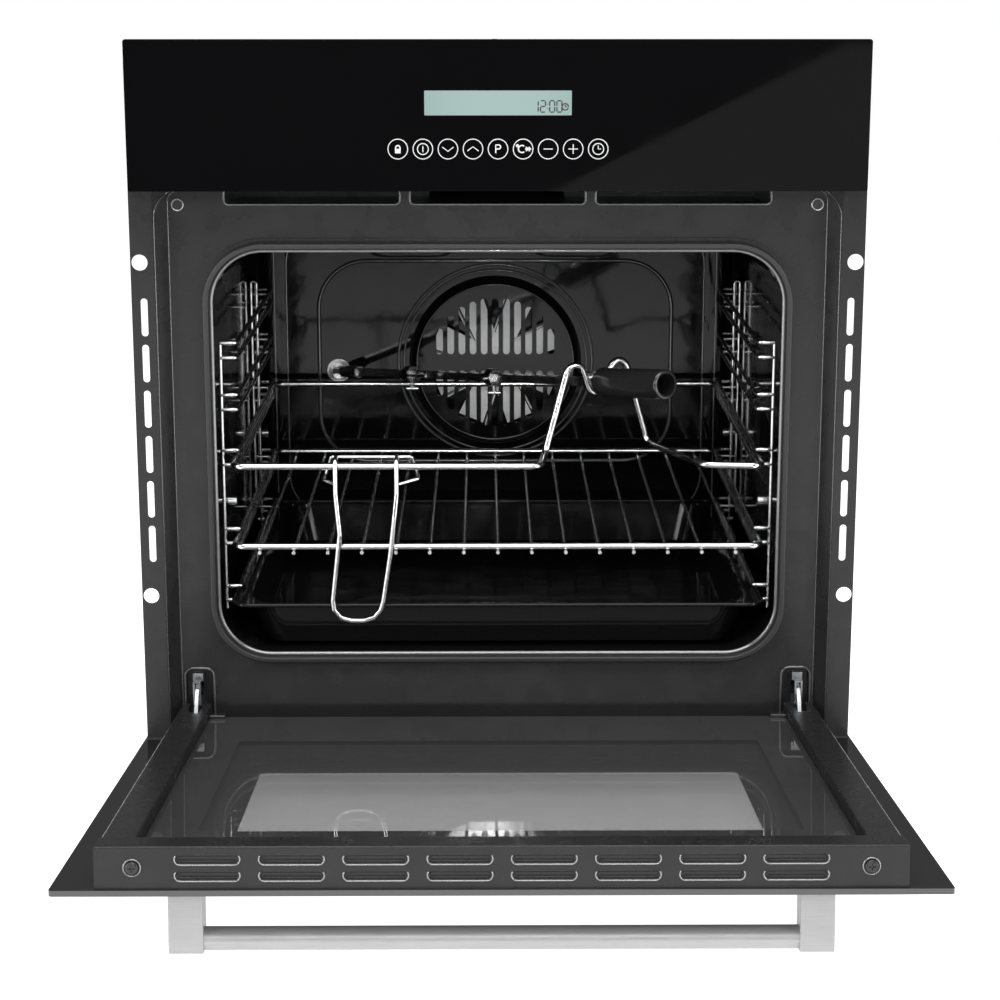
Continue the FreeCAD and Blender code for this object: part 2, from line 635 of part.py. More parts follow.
def cooling_blower():
    """Scroll housing over the cavity with a flat duct to the vents, and its rotor."""
    z0 = CAVITY_Z1 + INSULATION_T + 2
    z1 = z0 + BLOWER_H
    r = BLOWER_R
    mouth = PLATE_X - 42
    drum = cylinder(r + 2, V(0, BLOWER_Y, z0), V(0, BLOWER_Y, z1))
    neck = box(-r - 2, r + 2, 160, BLOWER_Y, z0, z0 + 24)
    fan_out = box(-mouth - 1.5, mouth + 1.5, PLATE_Y + PLATE_T + GAP, 162, z0, z0 + 24)
    shell = fused([drum, neck, fan_out])
    space = fused(
        [
            cylinder(r, V(0, BLOWER_Y, z0 + 1.5), V(0, BLOWER_Y, z1 - 1.5)),
            box(1 - r, r - 1, 158, BLOWER_Y, z0 + 1.5, z0 + 22.5),
            box(-mouth, mouth, 0, 160, z0 + 1.5, z0 + 22.5),
        ]
    )
    motor = cylinder(26, V(0, BLOWER_Y, z1 - 1.5), V(0, BLOWER_Y, z1 + 30))
    shaft_hole = cylinder(3 + RUN, V(0, BLOWER_Y, z1 - 5), V(0, BLOWER_Y, z1 + 24))
    inlets = []
    for k in range(8):
        a = math.radians(45 * k)
        x, y = 42 * math.cos(a), 42 * math.sin(a)
        inlet = cylinder(8, V(x, y, z1 - 5), V(x, y, z1 + 1))
        inlet.translate(V(0, BLOWER_Y, 0))
        inlets.append(inlet)
    housing = shell.cut(space).fuse(motor).cut(shaft_hole).cut(Part.makeCompound(inlets))
    save("cooling_blower_housing", housing.removeSplitter())
    disc = cylinder(52, V(0, 0, z0 + 4), V(0, 0, z0 + 5.5))
    rim = cylinder(52, V(0, 0, z1 - 6), V(0, 0, z1 - 4.5)).cut(cylinder(40, V(0, 0, z1 - 9), V(0, 0, z1)))
    hub = cylinder(9, V(0, 0, z0 + 4), V(0, 0, z0 + 20))
    shaft = cylinder(3, V(0, 0, z0 + 4), V(0, 0, z1 + 20))
    parts = [disc, rim, hub, shaft]
    vane = box(41, 51.5, -0.6, 0.6, z0 + 5, z1 - 5)
    vane.rotate(V(46, 0, 0), V(0, 0, 1), 35)
    for k in range(24):
        turned = vane.copy()
        turned.rotate(V(0, 0, 0), V(0, 0, 1), 15 * k)
        parts.append(turned)
    rotor = fused(parts)
    rotor.translate(V(0, BLOWER_Y, 0))
    save("cooling_rotor", rotor)


# ---------------------------------------------------------------- racks and inserts


def corner_in(z):
    """How far the cavity's rounded lower corner stands in from the side wall at a height."""
    drop = max(0.0, CAVITY_Z0 + CAVITY_R - z)
    return CAVITY_R - math.sqrt(CAVITY_R**2 - drop**2)


def side_rack():
    """Right-hand ladder of runner and guard wires on a front post and a rear loop."""
    wall = CAVITY_W / 2
    post_x = wall - POST_IN
    y1 = CAVITY_D - RUNNER_REAR_GAP
    y_post = CAVITY_D - RACK_POST_REAR_GAP
    levels = []
    for level in (TRAY_LEVEL, SHELF_LEVEL, CRADLE_LEVEL) + SPARE_LEVELS:
        levels += [CAVITY_Z0 + level, CAVITY_Z0 + level + GUARD]
    reach = math.sqrt(CAVITY_R**2 - (CAVITY_R - 2.9) ** 2)
    low = max(levels[0] - 7, CAVITY_Z0 + CAVITY_R - reach)
    pieces = [bar((post_x, RUNNER_Y0, low), (post_x, RUNNER_Y0, levels[-1]), 3.4)]
    loop = [(wall - 7.4, y_post, low), (wall - 7.4, y_post, levels[-1] + 12)]
    loop += [(wall - 2.2, y_post, levels[-1] + 12), (wall - 2.2, y_post, levels[1])]
    pieces.append(rod(loop, 3.2, 2.55))
    for z in levels:
        end = wall - max(3.0, 1.8 + corner_in(z - RACK_WIRE / 2))
        path = [(post_x, RUNNER_Y0, z), (RUNNER_X, RUNNER_Y0, z), (RUNNER_X, y1, z), (end, y1, z)]
        pieces.append(rod(path, RACK_WIRE, 5.0))
        pieces.append(bar((RUNNER_X, y_post, z), (wall - 4.0, y_post, z), 3.2))
    return fused(pieces)


def rack_nuts():
    wall = CAVITY_W / 2
    low = CAVITY_Z0 + CRADLE_LEVEL - 34
    nuts = []
    for y, z in ((RUNNER_Y0 + 12, low), (CAVITY_D - RACK_POST_REAR_GAP + 10, low)):
        stem = bar((wall, y, z), (wall - 13, y, z), 5.0)
        head = bar((wall - 6, y, z), (wall - 15, y, z), 9.0)
        nuts.append(fused([stem, head]))
    group = Part.makeCompound(nuts)
    return both(group)


def wire_shelf():
    z = CAVITY_Z0 + SHELF_LEVEL + SEAT
    x = SIDE_BAR_X
    corners = [(-x, INSERT_Y0, z), (x, INSERT_Y0, z), (x, INSERT_Y1, z), (-x, INSERT_Y1, z)]
    frame = rod(corners, BAR_D, 9.0, closed=True)
    wires = []
    low = z - (BAR_D + SHELF_WIRE) / 2 + 0.4
    for k in range(SHELF_WIRES):
        at = (k - (SHELF_WIRES - 1) / 2) * SHELF_PITCH
        wires.append(bar((at, INSERT_Y0 - 5.5, low), (at, INSERT_Y1 + 3, low), SHELF_WIRE))
    return fused([frame] + wires)


def baking_tray():
    """Deep pan with a flat flange, a rolled edge and sloping sides."""
    top = CAVITY_Z0 + TRAY_LEVEL + RACK_WIRE / 2 + GAP + TRAY_T
    rim_x = CAVITY_W / 2 - 11.3
    pan_x = RUNNER_X - RACK_WIRE / 2 - 4.0
    y0 = INSERT_Y0 - 1.2
    y1 = INSERT_Y1

    def block(x, front, back, radius, grow, z_top, z_low, slope):
        wires = []
        for g, z in ((grow, z_top), (grow + slope, z_low)):
            wires.append(slab(g - x, x - g, front + g, back - g, z, radius))
        return Part.makeLoft(wires, True, True)

    outer = block(pan_x, y0 + 11, y1 - 11, 26.0, 0, top, top - TRAY_DEPTH, 9.0)
    inner = block(pan_x, y0 + 11, y1 - 11, 25.0, TRAY_T, top + 0.02, top - TRAY_DEPTH + TRAY_T, 9.0)
    flange = Part.Face(slab(-rim_x + RIM_R, rim_x - RIM_R, y0 + RIM_R, y1 - RIM_R, top - TRAY_T, 14.0))
    flange = flange.extrude(V(0, 0, TRAY_T))
    corners = [(-rim_x + RIM_R, y0 + RIM_R), (rim_x - RIM_R, y0 + RIM_R)]
    corners += [(rim_x - RIM_R, y1 - RIM_R), (RIM_R - rim_x, y1 - RIM_R)]
    roll = rod([(x, y, top - TRAY_T + RIM_R) for x, y in corners], 2 * RIM_R, 14.0, closed=True)
    return fused([outer, flange, roll]).cut(inner)


def cradle_level():
    return CAVITY_Z0 + CRADLE_LEVEL + SEAT


def rotisserie_cradle():
    """One bent wire frame; its front run rises into two humps with the spit's rest between them."""
    z = cradle_level()
    base = z - SEAT
    x = SIDE_BAR_X
    sx, sy = SADDLE[:2]
    hx, hy = HUMP_HALF
    path = [
        (-x, INSERT_Y0 + 1, z),
        (sx - 50, INSERT_Y0 + 1, z),
        (sx - 45, sy - 25, z),
        (sx - hx, sy - hy, base + HUMP_UP),
        (sx, sy, base + SADDLE_UP),
        (sx + hx, sy + hy, base + HUMP_UP),
        (sx + 46, sy + 25, z),
        (sx + 87, INSERT_Y0 + 6, z),
        (x, INSERT_Y0 + 1, z),
        (x, INSERT_Y1, z),
        (-x, INSERT_Y1, z),
    ]
    return rod(path, BAR_D, 9.0, closed=True)


def spit_pieces():
    start, way, reach = spit_axis()

    def at(t):
        return start + way * t

    def along(t0, t1, radius):
        return cylinder(radius, at(t0), at(t1))

    side = way.cross(V(0, 0, 1))
    side.normalize()
    up = side.cross(way)
    corners = [(-1, -1), (1, -1), (1, 1), (-1, 1)]

    def square_bar(t0, t1, width):
        points = [at(t0) + side * (a * width / 2) + up * (b * width / 2) for a, b in corners]
        return Part.Face(Part.makePolygon(points + points[:1])).extrude(way * (t1 - t0))

    tang = square_bar(-14, 4, 4.5)
    coupling = along(3, 33, 6.0)
    blade = square_bar(32, reach - 8, SPIT_SQ)
    core = along(reach - 10, reach + 32, 4.0)
    save("spit_rod", fused([tang, coupling, blade, core]))
    groove = along(reach - 8, reach + 8, JOURNAL_R)
    cheeks = [along(reach - 8, reach - 5, 9.0), along(reach + 5, reach + 8, 9.0)]
    save("spit_ferrule", fused([groove] + cheeks).cut(along(reach - 9, reach + 9, 4.0)))
    grip = along(reach + 8, reach + 8 + GRIP_L, GRIP_R)
    ends = [e for e in grip.Edges if e.Curve.TypeId == "Part::GeomCircle"]
    grip = grip.makeFillet(2.0, ends)
    grip = grip.cut(along(reach + 34, reach + 10 + GRIP_L, GRIP_R - 3.2)).cut(along(reach, reach + 32, 4.0))
    save("spit_handle", grip)
    down = up * -1
    for name, t, toward in (("rear", 126.0, 1), ("front", 262.0, -1)):
        hub = along(t - 5, t + 5, 8.0)
        stem_hole = cylinder(2.0 + RUN, at(t), at(t) + down * 12)
        prongs = []
        for s in (-1, 1):
            root = at(t) + side * (s * 6.5)
            knee = root + side * (s * 4.5)
            tip = knee + way * (toward * 42)
            prongs.append(cylinder(1.3, root, knee + side * (s * 0.9)))
            prongs.append(cylinder(1.3, knee - way * toward, tip))
        bore = square_bar(t - 10, t + 10, SPIT_SQ + 0.16)
        save("spit_fork_" + name, fused([hub] + prongs).cut(bore).cut(stem_hole))
        stem = cylinder(2.0, at(t) + down * 4.2, at(t) + down * 14)
        tee = cylinder(1.6, at(t) + down * 14 - V(5.5, 0, 0), at(t) + down * 14 + V(5.5, 0, 0))
        save("fork_screw_" + name, fused([stem, tee]))


def spit_motor():
    """Geared motor behind the back wall with a wide drive cup."""
    start = spit_axis()[0]
    x = start.x - 3.5
    y = CAVITY_D + ENAMEL_T + GAP
    socket = bar((x, y - 1, start.z), (x, y + 14, start.z), 20.0)
    cup = bar((x, y, start.z), (x, y + 18, start.z), 23.0).cut(socket)
    body = box(x - 22, x + 22, y + 18, y + 60, start.z - 25, start.z + 25)
    return fused([cup, body])


def lifting_handle():
    """Bent wire tool hooked over the cradle's front bar, with a long loop to hold."""
    z = cradle_level()
    y = INSERT_Y0 + 1
    front = y - 8.2
    left = [(-134.7, y + 9, z + 6.2), (-134.7, y - 7.5, z + 6.6), (-134.7, y - 7.5, z - 22)]
    left += [(-131.5, front - 2, z - 56), (-133.5, front - 2, z - 73), (-138.0, front - 2, z - 113)]
    left += [(-137.0, front - 2, z - 121), (-131.5, front - 2, z - 127.5)]
    right = [(-84.0, y + 9, z + 6.2), (-84.0, y - 7.5, z + 6.6), (-84.0, y - 7.5, z - 22)]
    right += [(-86.0, front - 2, z - 41), (-89.6, front - 2, z - 73), (-95.8, front - 2, z - 113)]
    right += [(-98.3, front - 2, z - 121), (-103.8, front - 2, z - 127.5)]
    handle = left + [(-123.0, front - 2, z - 130), (-112.0, front - 2, z - 130)] + right[::-1]
    handle = [(px, py, z + (pz - z) * TOOL_SHARE if pz < z - 30 else pz) for px, py, pz in handle]
    main = rod(handle, 4.2, 3.2)
    loop = [(-134.5, y - 7.5, z - 14), (-145, y + 2, z - 12), (-141, y + 13, z - 1), (-139, y + 9, z + 6.2)]
    loop += [(-72, y + 9, z + 6.2), (-69, y + 13, z - 2), (-66, y + 3, z - 11), (-84.2, y - 7.5, z - 14)]
    return fused([main, rod(loop, 3.0, 2.0)])


# ---------------------------------------------------------------- door


def door_glass():
    top = FASCIA_H - PANEL_H - DOOR_GAP
    half = FASCIA_W / 2
    outer = prism(-half, half, DOOR_BOTTOM, top, 3.0, DOOR_Y, DOOR_Y + GLASS_T)
    for x in (-HANDLE_X, HANDLE_X):
        outer = outer.cut(bar((x, DOOR_Y - 5, HANDLE_Z), (x, DOOR_Y + 9, HANDLE_Z), 2 * BOLT_R + 0.6))
    save("door_outer_glass", opened(outer))
    edge = COLUMN_X - COLUMN_W / 2
    high = top - RAIL_DROP - RAIL_H + 6
    inner = prism(GAP - edge, edge - GAP, 42.0, high, 2.0, PANE_BACK - GLASS_T, PANE_BACK)
    save("door_inner_glass", opened(inner))


def door_column():
    """Right-hand U-section upright, open towards the glass, with a notch for the hinge arm."""
    x0 = COLUMN_X - COLUMN_W / 2
    x1 = COLUMN_X + COLUMN_W / 2
    top = FASCIA_H - PANEL_H - DOOR_GAP - RAIL_DROP - RAIL_H
    front = DOOR_Y + GLASS_T
    block = box(x0, x1, front, DOOR_BACK, COLUMN_BOTTOM, top)
    long_edges = [e for e in block.Edges if e.BoundBox.ZLength > 100 and e.BoundBox.YMin > 0]
    block = block.makeFillet(1.5, long_edges)
    hollow = box(x0 + COLUMN_T, x1 - COLUMN_T, front - 1, DOOR_BACK - COLUMN_T, COLUMN_BOTTOM - 1, top + 1)
    notch = prism(COLUMN_X - 5.6, COLUMN_X + 5.6, COLUMN_BOTTOM - 20, 68.0, 3.0, 0, DOOR_BACK + 1)
    return block.cut(hollow).cut(notch)


def door_rails():
    top = FASCIA_H - PANEL_H - DOOR_GAP - RAIL_DROP
    front = DOOR_Y + GLASS_T
    half = COLUMN_X + COLUMN_W / 2 + 1.5
    low = top - RAIL_H
    block = box(-half, half, front, DOOR_BACK, low, top)
    upper = [e for e in block.Edges if e.BoundBox.YMin > 0 and e.BoundBox.ZMin > low]
    block = block.makeFillet(1.5, [e for e in upper if e.BoundBox.XLength > 100])
    hollow = box(-half + COLUMN_T, half - COLUMN_T, front - 1, DOOR_BACK - COLUMN_T, low - 1, top - COLUMN_T)
    rail = block.cut(hollow)
    cuts = []
    middle = (front + DOOR_BACK) / 2
    for row in (-1, 1):
        for k in range(RAIL_SLOTS):
            x = (k - (RAIL_SLOTS - 1) / 2) * RAIL_PITCH
            hole = slot(x, 0, RAIL_SLOT_L, RAIL_SLOT_H, -5, 5)
            hole.rotate(V(0, 0, 0), V(1, 0, 0), 90)
            hole.translate(V(0, middle + row * 5.5, top))
            cuts.append(hole)
    screw_x = COLUMN_X - COLUMN_W / 2 + 0.5
    for s in (-1, 1):
        cuts.append(bar((s * screw_x, middle, top - 5), (s * screw_x, middle, top + 5), 5.4))
    save("door_top_rail", opened(rail.cut(Part.makeCompound(cuts))))
    edge = COLUMN_X - COLUMN_W / 2
    foot = box(GAP - edge, edge - GAP, front, PANE_BACK - GLASS_T, 36.0, 58.0)
    foot = foot.cut(box(-edge, edge, front + 1.2, PANE_BACK - GLASS_T - 1.2, 37.2, 60.0))
    save("door_bottom_rail", opened(foot))
    head = cylinder(4.5, V(screw_x, middle, top), V(screw_x, middle, top + 2.4))
    head = head.makeFillet(1.3, [head.Edges[0]])
    shank = cylinder(2.5, V(screw_x, middle, top - 12), V(screw_x, middle, top + 1))
    cross = fused(
        [
            box(screw_x - 2.4, screw_x + 2.4, middle - 0.4, middle + 0.4, top + 1.2, top + 3),
            box(screw_x - 0.4, screw_x + 0.4, middle - 2.4, middle + 2.4, top + 1.2, top + 3),
        ]
    )
    rail_screw = fused([head, shank]).cut(cross)
    z = HANDLE_Z
    bolt_head = cylinder(5.0, V(HANDLE_X, front, z), V(HANDLE_X, front + 3, z))
    bolt_shank = cylinder(BOLT_R, V(HANDLE_X, DOOR_Y - 12, z), V(HANDLE_X, front + 1, z))
    handle_bolt = fused([bolt_head, bolt_shank])
    save("door_screws", opened(Part.makeCompound([both(rail_screw), both(handle_bolt)])))


def glass_clips():
    x0 = COLUMN_X - COLUMN_W / 2 - 13.5
    x1 = COLUMN_X - COLUMN_W / 2 - GAP
    clip = box(x0, x1, PANE_BACK, PANE_BACK + 3.2, 38.0, 50.0)
    clip = clip.fuse(box(x0, x1, PANE_BACK - GLASS_T, PANE_BACK + 1, 38.0, 41.7)).removeSplitter()
    edges = [e for e in clip.Edges if e.BoundBox.YMin > PANE_BACK + 3.1]
    return both(clip.makeFillet(1.2, edges))


def handle():
    y0 = DOOR_Y - HANDLE_OUT
    post = Part.makeBox(POST_W, HANDLE_OUT, POST_H, V(HANDLE_X - POST_W / 2, y0, HANDLE_Z - POST_H / 2))
    edges = [e for e in post.Edges if e.BoundBox.YLength > 40]
    post = post.makeFillet(1.2, edges)
    post = post.cut(bar((HANDLE_X, DOOR_Y - 14, HANDLE_Z), (HANDLE_X, DOOR_Y + 1, HANDLE_Z), 2 * BOLT_R))
    save("handle_post_right", opened(post))
    save("handle_post_left", opened(mirrored(post)))
    reach = HANDLE_X - POST_W / 2
    save("handle_bar", opened(bar((-reach, y0 + BAR_R, HANDLE_Z), (reach, y0 + BAR_R, HANDLE_Z), 2 * BAR_R)))


# ---------------------------------------------------------------- hinges

def hinges():
    x = COLUMN_X
    y, z = HINGE_Y, HINGE_Z
    shape = [(-4, 30), (-5, 38), (0, 46), (8, 56), (14, 58), (46, 58)]
    shape += [(46, 50), (26, 50), (24, 43), (12, 38), (9, 30), (2, 27)]
    arm = profile(shape, x - ARM_T / 2, ARM_T)
    eye = bar((x - ARM_T / 2, y, z), (x + ARM_T / 2, y, z), 14.0)
    hook = box(x - ARM_T / 2, x + ARM_T / 2, 40, 46, 44, 52)
    bore = bar((x - 10, y, z), (x + 10, y, z), 2 * ARM_BORE)
    lock_bore = bar((x - 10, LOCK_Y, LOCK_Z), (x + 10, LOCK_Y, LOCK_Z), 2 * (LOCK_R + RUN))
    arm = fused([arm, eye, hook]).cut(bore).cut(lock_bore)
    save("hinge_arm_right", arm)
    save("hinge_arm_left", mirrored(arm))
    back = PLATE_Y + POCKET_D + PLATE_T
    shell = box(x - 6, x + 6, back, back + 44, 21, 70)
    shell = shell.cut(box(x - 4.8, x + 4.8, back - 1, back + 42.8, 22.2, 68.8))
    tab = box(x - 4.4, x + 4.2, PLATE_Y + 2, back + 4, 60.5, 67.5)
    web = box(x - 4.4, x + 4.2, back, back + 4, 66, 69.5)
    catch = box(x - 5, x + 5, back + 20, back + 25, 30, 41)
    window = box(x - 4.8, x + 4.8, back - 1, back + 3, 22.2, 68.8)
    ears = box(x - 12, x + 12, back, back + 1.2, 21, 70).cut(window)
    save("hinge_receptacles", both(fused([shell, tab, web, catch, ears])))
    lock = []
    for s in (-1, 1):
        inner = x + s * (ARM_T / 2 + GAP)
        outer = inner + s * 1.4
        x0, x1 = min(inner, outer), max(inner, outer)
        cheek = [(LOCK_Y - 3, LOCK_Z - 3), (LOCK_Y + 3, LOCK_Z - 3), (LOCK_Y + 2.5, LOCK_Z + LOCK_L)]
        cheek += [(LOCK_Y - 2.5, LOCK_Z + LOCK_L)]
        lock.append(profile(cheek, x0, x1 - x0))
    wide = ARM_T / 2 + GAP + 1.4
    lock.append(box(x - wide, x + wide, LOCK_Y - 2.5, LOCK_Y + 2.5, LOCK_Z + LOCK_L - 1.5, LOCK_Z + LOCK_L))
    lock.append(bar((x - wide, LOCK_Y, LOCK_Z), (x + wide, LOCK_Y, LOCK_Z), 2 * LOCK_R))
    lever = fused(lock)
    save("hinge_lock_right", lever)
    save("hinge_lock_left", mirrored(lever))
    inner = 7.0
    low = z - 4.6
    bracket = box(x - inner - 1.5, x + inner + 1.5, y - 16, y + 6, low, z + 100)
    bracket = bracket.cut(box(x - inner, x + inner, y - 14.5, y + 10, low - 1, z + 101))
    bracket = bracket.cut(bar((x - 20, y, z), (x + 20, y, z), 2 * PIN_R))
    bracket = bracket.cut(box(x - 20, x + 20, y + 2, y + 10, z + 12, z + 101))
    spring = bar((x, y - 8, z + 20), (x, y - 8, z + 90), 8.0)
    link = box(x - 7, x + 7, y - 14.6, y - 8, z + 86, z + 90)
    bracket = fused([bracket, spring, link])
    save("hinge_bracket_right", opened(bracket))
    save("hinge_bracket_left", opened(mirrored(bracket)))
    pin = bar((x - inner - 2.5, y, z), (x + inner + 2.5, y, z), 2 * PIN_R)
    save("hinge_pins", opened(both(pin)))


def build():
    os.makedirs("parts", exist_ok=True)
    save("front_plate", front_plate())
    trim = side_trim()
    save("right_side_trim", trim)
    save("left_side_trim", mirrored(trim))
    save("plate_screws", plate_screws())
    control_panel()
    save("cavity_liner", cavity_liner())
    save("door_gasket", gasket())
    save("insulation", insulation())
    case_panels()
    save("terminal_box", terminal_box())
    save("grill_element", grill_element())
    save("bake_element", bake_element())
    save("oven_lamp", oven_lamp())
    save("temperature_probe", temperature_probe())
    save("fan_cover", fan_cover())
    save("convection_fan", convection_fan())
    save("fan_motor", fan_motor())
    cooling_blower()
    rack = side_rack()
    save("right_side_rack", rack)
    save("left_side_rack", mirrored(rack))
    save("rack_nuts", rack_nuts())
    save("wire_shelf", wire_shelf())
    save("baking_tray", baking_tray())
    save("rotisserie_cradle", rotisserie_cradle())
    spit_pieces()
    save("spit_motor", spit_motor())
    save("lifting_handle", lifting_handle())
    door_glass()
    column = door_column()
    save("door_column_right", opened(column))
    save("door_column_left", opened(mirrored(column)))
    door_rails()
    save("glass_clips", opened(glass_clips()))
    handle()
    hinges()


build()
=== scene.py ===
"""Finishes and fine detail for the built-in oven.

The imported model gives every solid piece. This script adds what is pressed, rolled, printed or
repeated on them, gives each piece its finish, and sets up a pale studio. Lengths are in metres;
the origin is the middle of the body's flat underside, X to the right, Y into the cabinet.
"""

import json
import math

import bpy
from mathutils import Matrix, Vector


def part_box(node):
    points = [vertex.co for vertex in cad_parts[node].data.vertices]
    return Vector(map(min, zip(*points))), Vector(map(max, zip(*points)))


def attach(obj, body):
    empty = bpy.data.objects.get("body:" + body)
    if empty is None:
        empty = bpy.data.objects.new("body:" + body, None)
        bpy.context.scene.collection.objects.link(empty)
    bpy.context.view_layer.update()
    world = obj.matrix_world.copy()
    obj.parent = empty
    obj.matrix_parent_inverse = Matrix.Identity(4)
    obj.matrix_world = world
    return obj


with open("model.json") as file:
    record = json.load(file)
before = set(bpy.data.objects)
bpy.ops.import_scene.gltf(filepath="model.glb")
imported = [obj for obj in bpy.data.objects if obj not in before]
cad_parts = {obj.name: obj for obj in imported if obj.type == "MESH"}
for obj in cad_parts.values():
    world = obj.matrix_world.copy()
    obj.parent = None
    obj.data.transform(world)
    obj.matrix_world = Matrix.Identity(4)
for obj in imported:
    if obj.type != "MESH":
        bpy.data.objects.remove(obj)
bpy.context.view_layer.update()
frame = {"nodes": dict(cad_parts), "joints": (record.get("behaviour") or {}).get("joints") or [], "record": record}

MM = 0.001


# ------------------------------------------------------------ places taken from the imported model

PANEL_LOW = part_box("control_panel_glass")[0]
TRIM_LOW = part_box("right_side_trim")[0]
SEAL_LOW, SEAL_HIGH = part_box("door_gasket")
COVER_LOW, COVER_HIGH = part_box("fan_cover")
SIDE_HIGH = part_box("right_side_panel")[1]
REAR_LOW, REAR_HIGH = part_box("rear_panel")
TOP_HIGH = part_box("top_panel")[1]
GRILL_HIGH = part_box("grill_element")[1]
CUP_LOW, CUP_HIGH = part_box("spit_motor")
SCREWS_LOW, SCREWS_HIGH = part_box("plate_screws")

PANEL_FACE = PANEL_LOW.y
FLANGE_FACE = TRIM_LOW.y
PLATE_FACE = SEAL_HIGH.y
BACK_WALL = COVER_HIGH.y
FAN_Z = (COVER_LOW.z + COVER_HIGH.z) / 2
CHANNEL_X = TRIM_LOW.x
CHANNEL_WIDTH = 11 * MM
# Clear fields of the closed door: half width, lower and upper edge, corner radius
PANE_FIELD = (0.208, 0.131, 0.401, 0.003)
FACE_FIELD = (0.1905, 0.141, 0.425, 0.003)
RAIL_MIDDLE = FLANGE_FACE - 2.5 * MM  # the door's top rail, with the door closed
RAIL_TOP = 470 * MM
LOUVRES = 8
LOUVRE_PITCH = 55.2 * MM
LOUVRE_ROW_GAP = 11 * MM

HINGE = next(j for j in frame["joints"] if j["name"] == "door_hinge")
HINGE_AT = Vector(HINGE["pos_m"])
OPEN = math.radians(HINGE["range_deg"][1])
DOOR_TURN = (
    Matrix.Translation(HINGE_AT) @ Matrix.Rotation(OPEN, 4, "X") @ Matrix.Translation(-HINGE_AT)
)


# ------------------------------------------------------------ shader arithmetic


def add_node(tree, kind, settings=None, inputs=None):
    """One node: its settings first, then a value or a link for each named socket."""
    node = tree.nodes.new(kind)
    for key, value in (settings or {}).items():
        setattr(node, key, value)
    for key, value in (inputs or {}).items():
        fill(tree, node.inputs[key], value)
    return node


def fill(tree, socket, value):
    if isinstance(value, Value):
        value = value.socket
    if isinstance(value, bpy.types.NodeSocket):
        tree.links.new(value, socket)
    else:
        socket.default_value = value


class Value:
    """A number that varies over a surface, for use in ordinary arithmetic."""

    def __init__(self, tree, socket):
        self.tree = tree
        self.socket = socket

    def math(self, operation, *terms):
        node = add_node(self.tree, "ShaderNodeMath", {"operation": operation})
        for slot, term in zip(node.inputs, terms):
            fill(self.tree, slot, term)
        return Value(self.tree, node.outputs[0])

    def __add__(self, other):
        return self.math("ADD", self, other)

    def __radd__(self, other):
        return self.math("ADD", other, self)

    def __sub__(self, other):
        return self.math("SUBTRACT", self, other)

    def __rsub__(self, other):
        return self.math("SUBTRACT", other, self)

    def __mul__(self, other):
        return self.math("MULTIPLY", self, other)

    def __rmul__(self, other):
        return self.math("MULTIPLY", other, self)

    def __abs__(self):
        return self.math("ABSOLUTE", self)

    def most(self, other):
        return self.math("MAXIMUM", self, other)

    def root(self):
        return self.math("SQRT", self)

    def span(self, low, high, out_low=0.0, out_high=1.0):
        """Smoothly from out_low at low to out_high at high."""
        node = add_node(
            self.tree,
            "ShaderNodeMapRange",
            {"interpolation_type": "SMOOTHSTEP"},
            {"Value": self, "From Min": low, "From Max": high, "To Min": out_low, "To Max": out_high},
        )
        return Value(self.tree, node.outputs["Result"])


class Finish:
    """A material under construction."""

    def __init__(self, name):
        self.material = bpy.data.materials.new(name)
        self.material.use_nodes = True
        self.tree = self.material.node_tree
        self.tree.nodes.clear()
        self.place = add_node(self.tree, "ShaderNodeTexCoord").outputs["Object"]

    def node(self, kind, settings=None, inputs=None):
        return add_node(self.tree, kind, settings, inputs)

    def value(self, kind, settings=None, inputs=None, output=0):
        return Value(self.tree, self.node(kind, settings, inputs).outputs[output])

    def stretched(self, x, y, z):
        return self.node(
            "ShaderNodeMapping", None, {"Vector": self.place, "Scale": (x, y, z)}
        ).outputs["Vector"]

    def noise(self, scale, detail=3.0, vector=None, roughness=0.5):
        inputs = {"Scale": scale, "Detail": detail, "Roughness": roughness}
        inputs["Vector"] = vector or self.place
        return self.value("ShaderNodeTexNoise", None, inputs, "Fac")

    def cells(self, scale):
        node = self.node("ShaderNodeTexVoronoi", None, {"Vector": self.place, "Scale": scale})
        return node.outputs["Color"]

    def axes(self):
        node = self.node("ShaderNodeSeparateXYZ", None, {"Vector": self.place})
        return [Value(self.tree, node.outputs[k]) for k in range(3)]

    def blend(self, factor, first, second):
        """A colour between two, by a factor."""
        node = self.node("ShaderNodeMix", {"data_type": "RGBA"})
        fill(self.tree, node.inputs[0], factor)
        fill(self.tree, node.inputs[6], first)
        fill(self.tree, node.inputs[7], second)
        return node.outputs[2]

    def bump(self, height, strength, distance):
        inputs = {"Height": height, "Strength": strength, "Distance": distance}
        return self.node("ShaderNodeBump", None, inputs).outputs["Normal"]

    def surface(self, **inputs):
        named = {key.replace("_", " "): value for key, value in inputs.items()}
        return self.node("ShaderNodeBsdfPrincipled", None, named).outputs["BSDF"]

    def mixed(self, factor, first, second):
        node = self.node("ShaderNodeMixShader")
        for slot, term in zip(node.inputs, (factor, first, second)):
            fill(self.tree, slot, term)
        return node.outputs[0]

    def done(self, shader):
        output = self.node("ShaderNodeOutputMaterial")
        self.tree.links.new(shader, output.inputs["Surface"])
        return self.material


def grey(level, alpha=1.0):
    return (level, level, level, alpha)


# ------------------------------------------------------------ finishes


def satin_enamel():
    """Dark satin coat of the front plate, trims and door frame."""
    f = Finish("satin dark enamel")
    cloud = f.noise(9.0, 4.0)
    peel = f.noise(850.0, 2.0)
    colour = f.blend(cloud, (0.010, 0.010, 0.0105, 1), (0.016, 0.016, 0.0165, 1))
    rough = f.noise(60.0, 3.0).span(0.3, 0.7, 0.25, 0.34)
    normal = f.bump(peel, 0.12, 0.0003)
    return f.done(f.surface(Base_Color=colour, Roughness=rough, Normal=normal, Specular_IOR_Level=0.28))


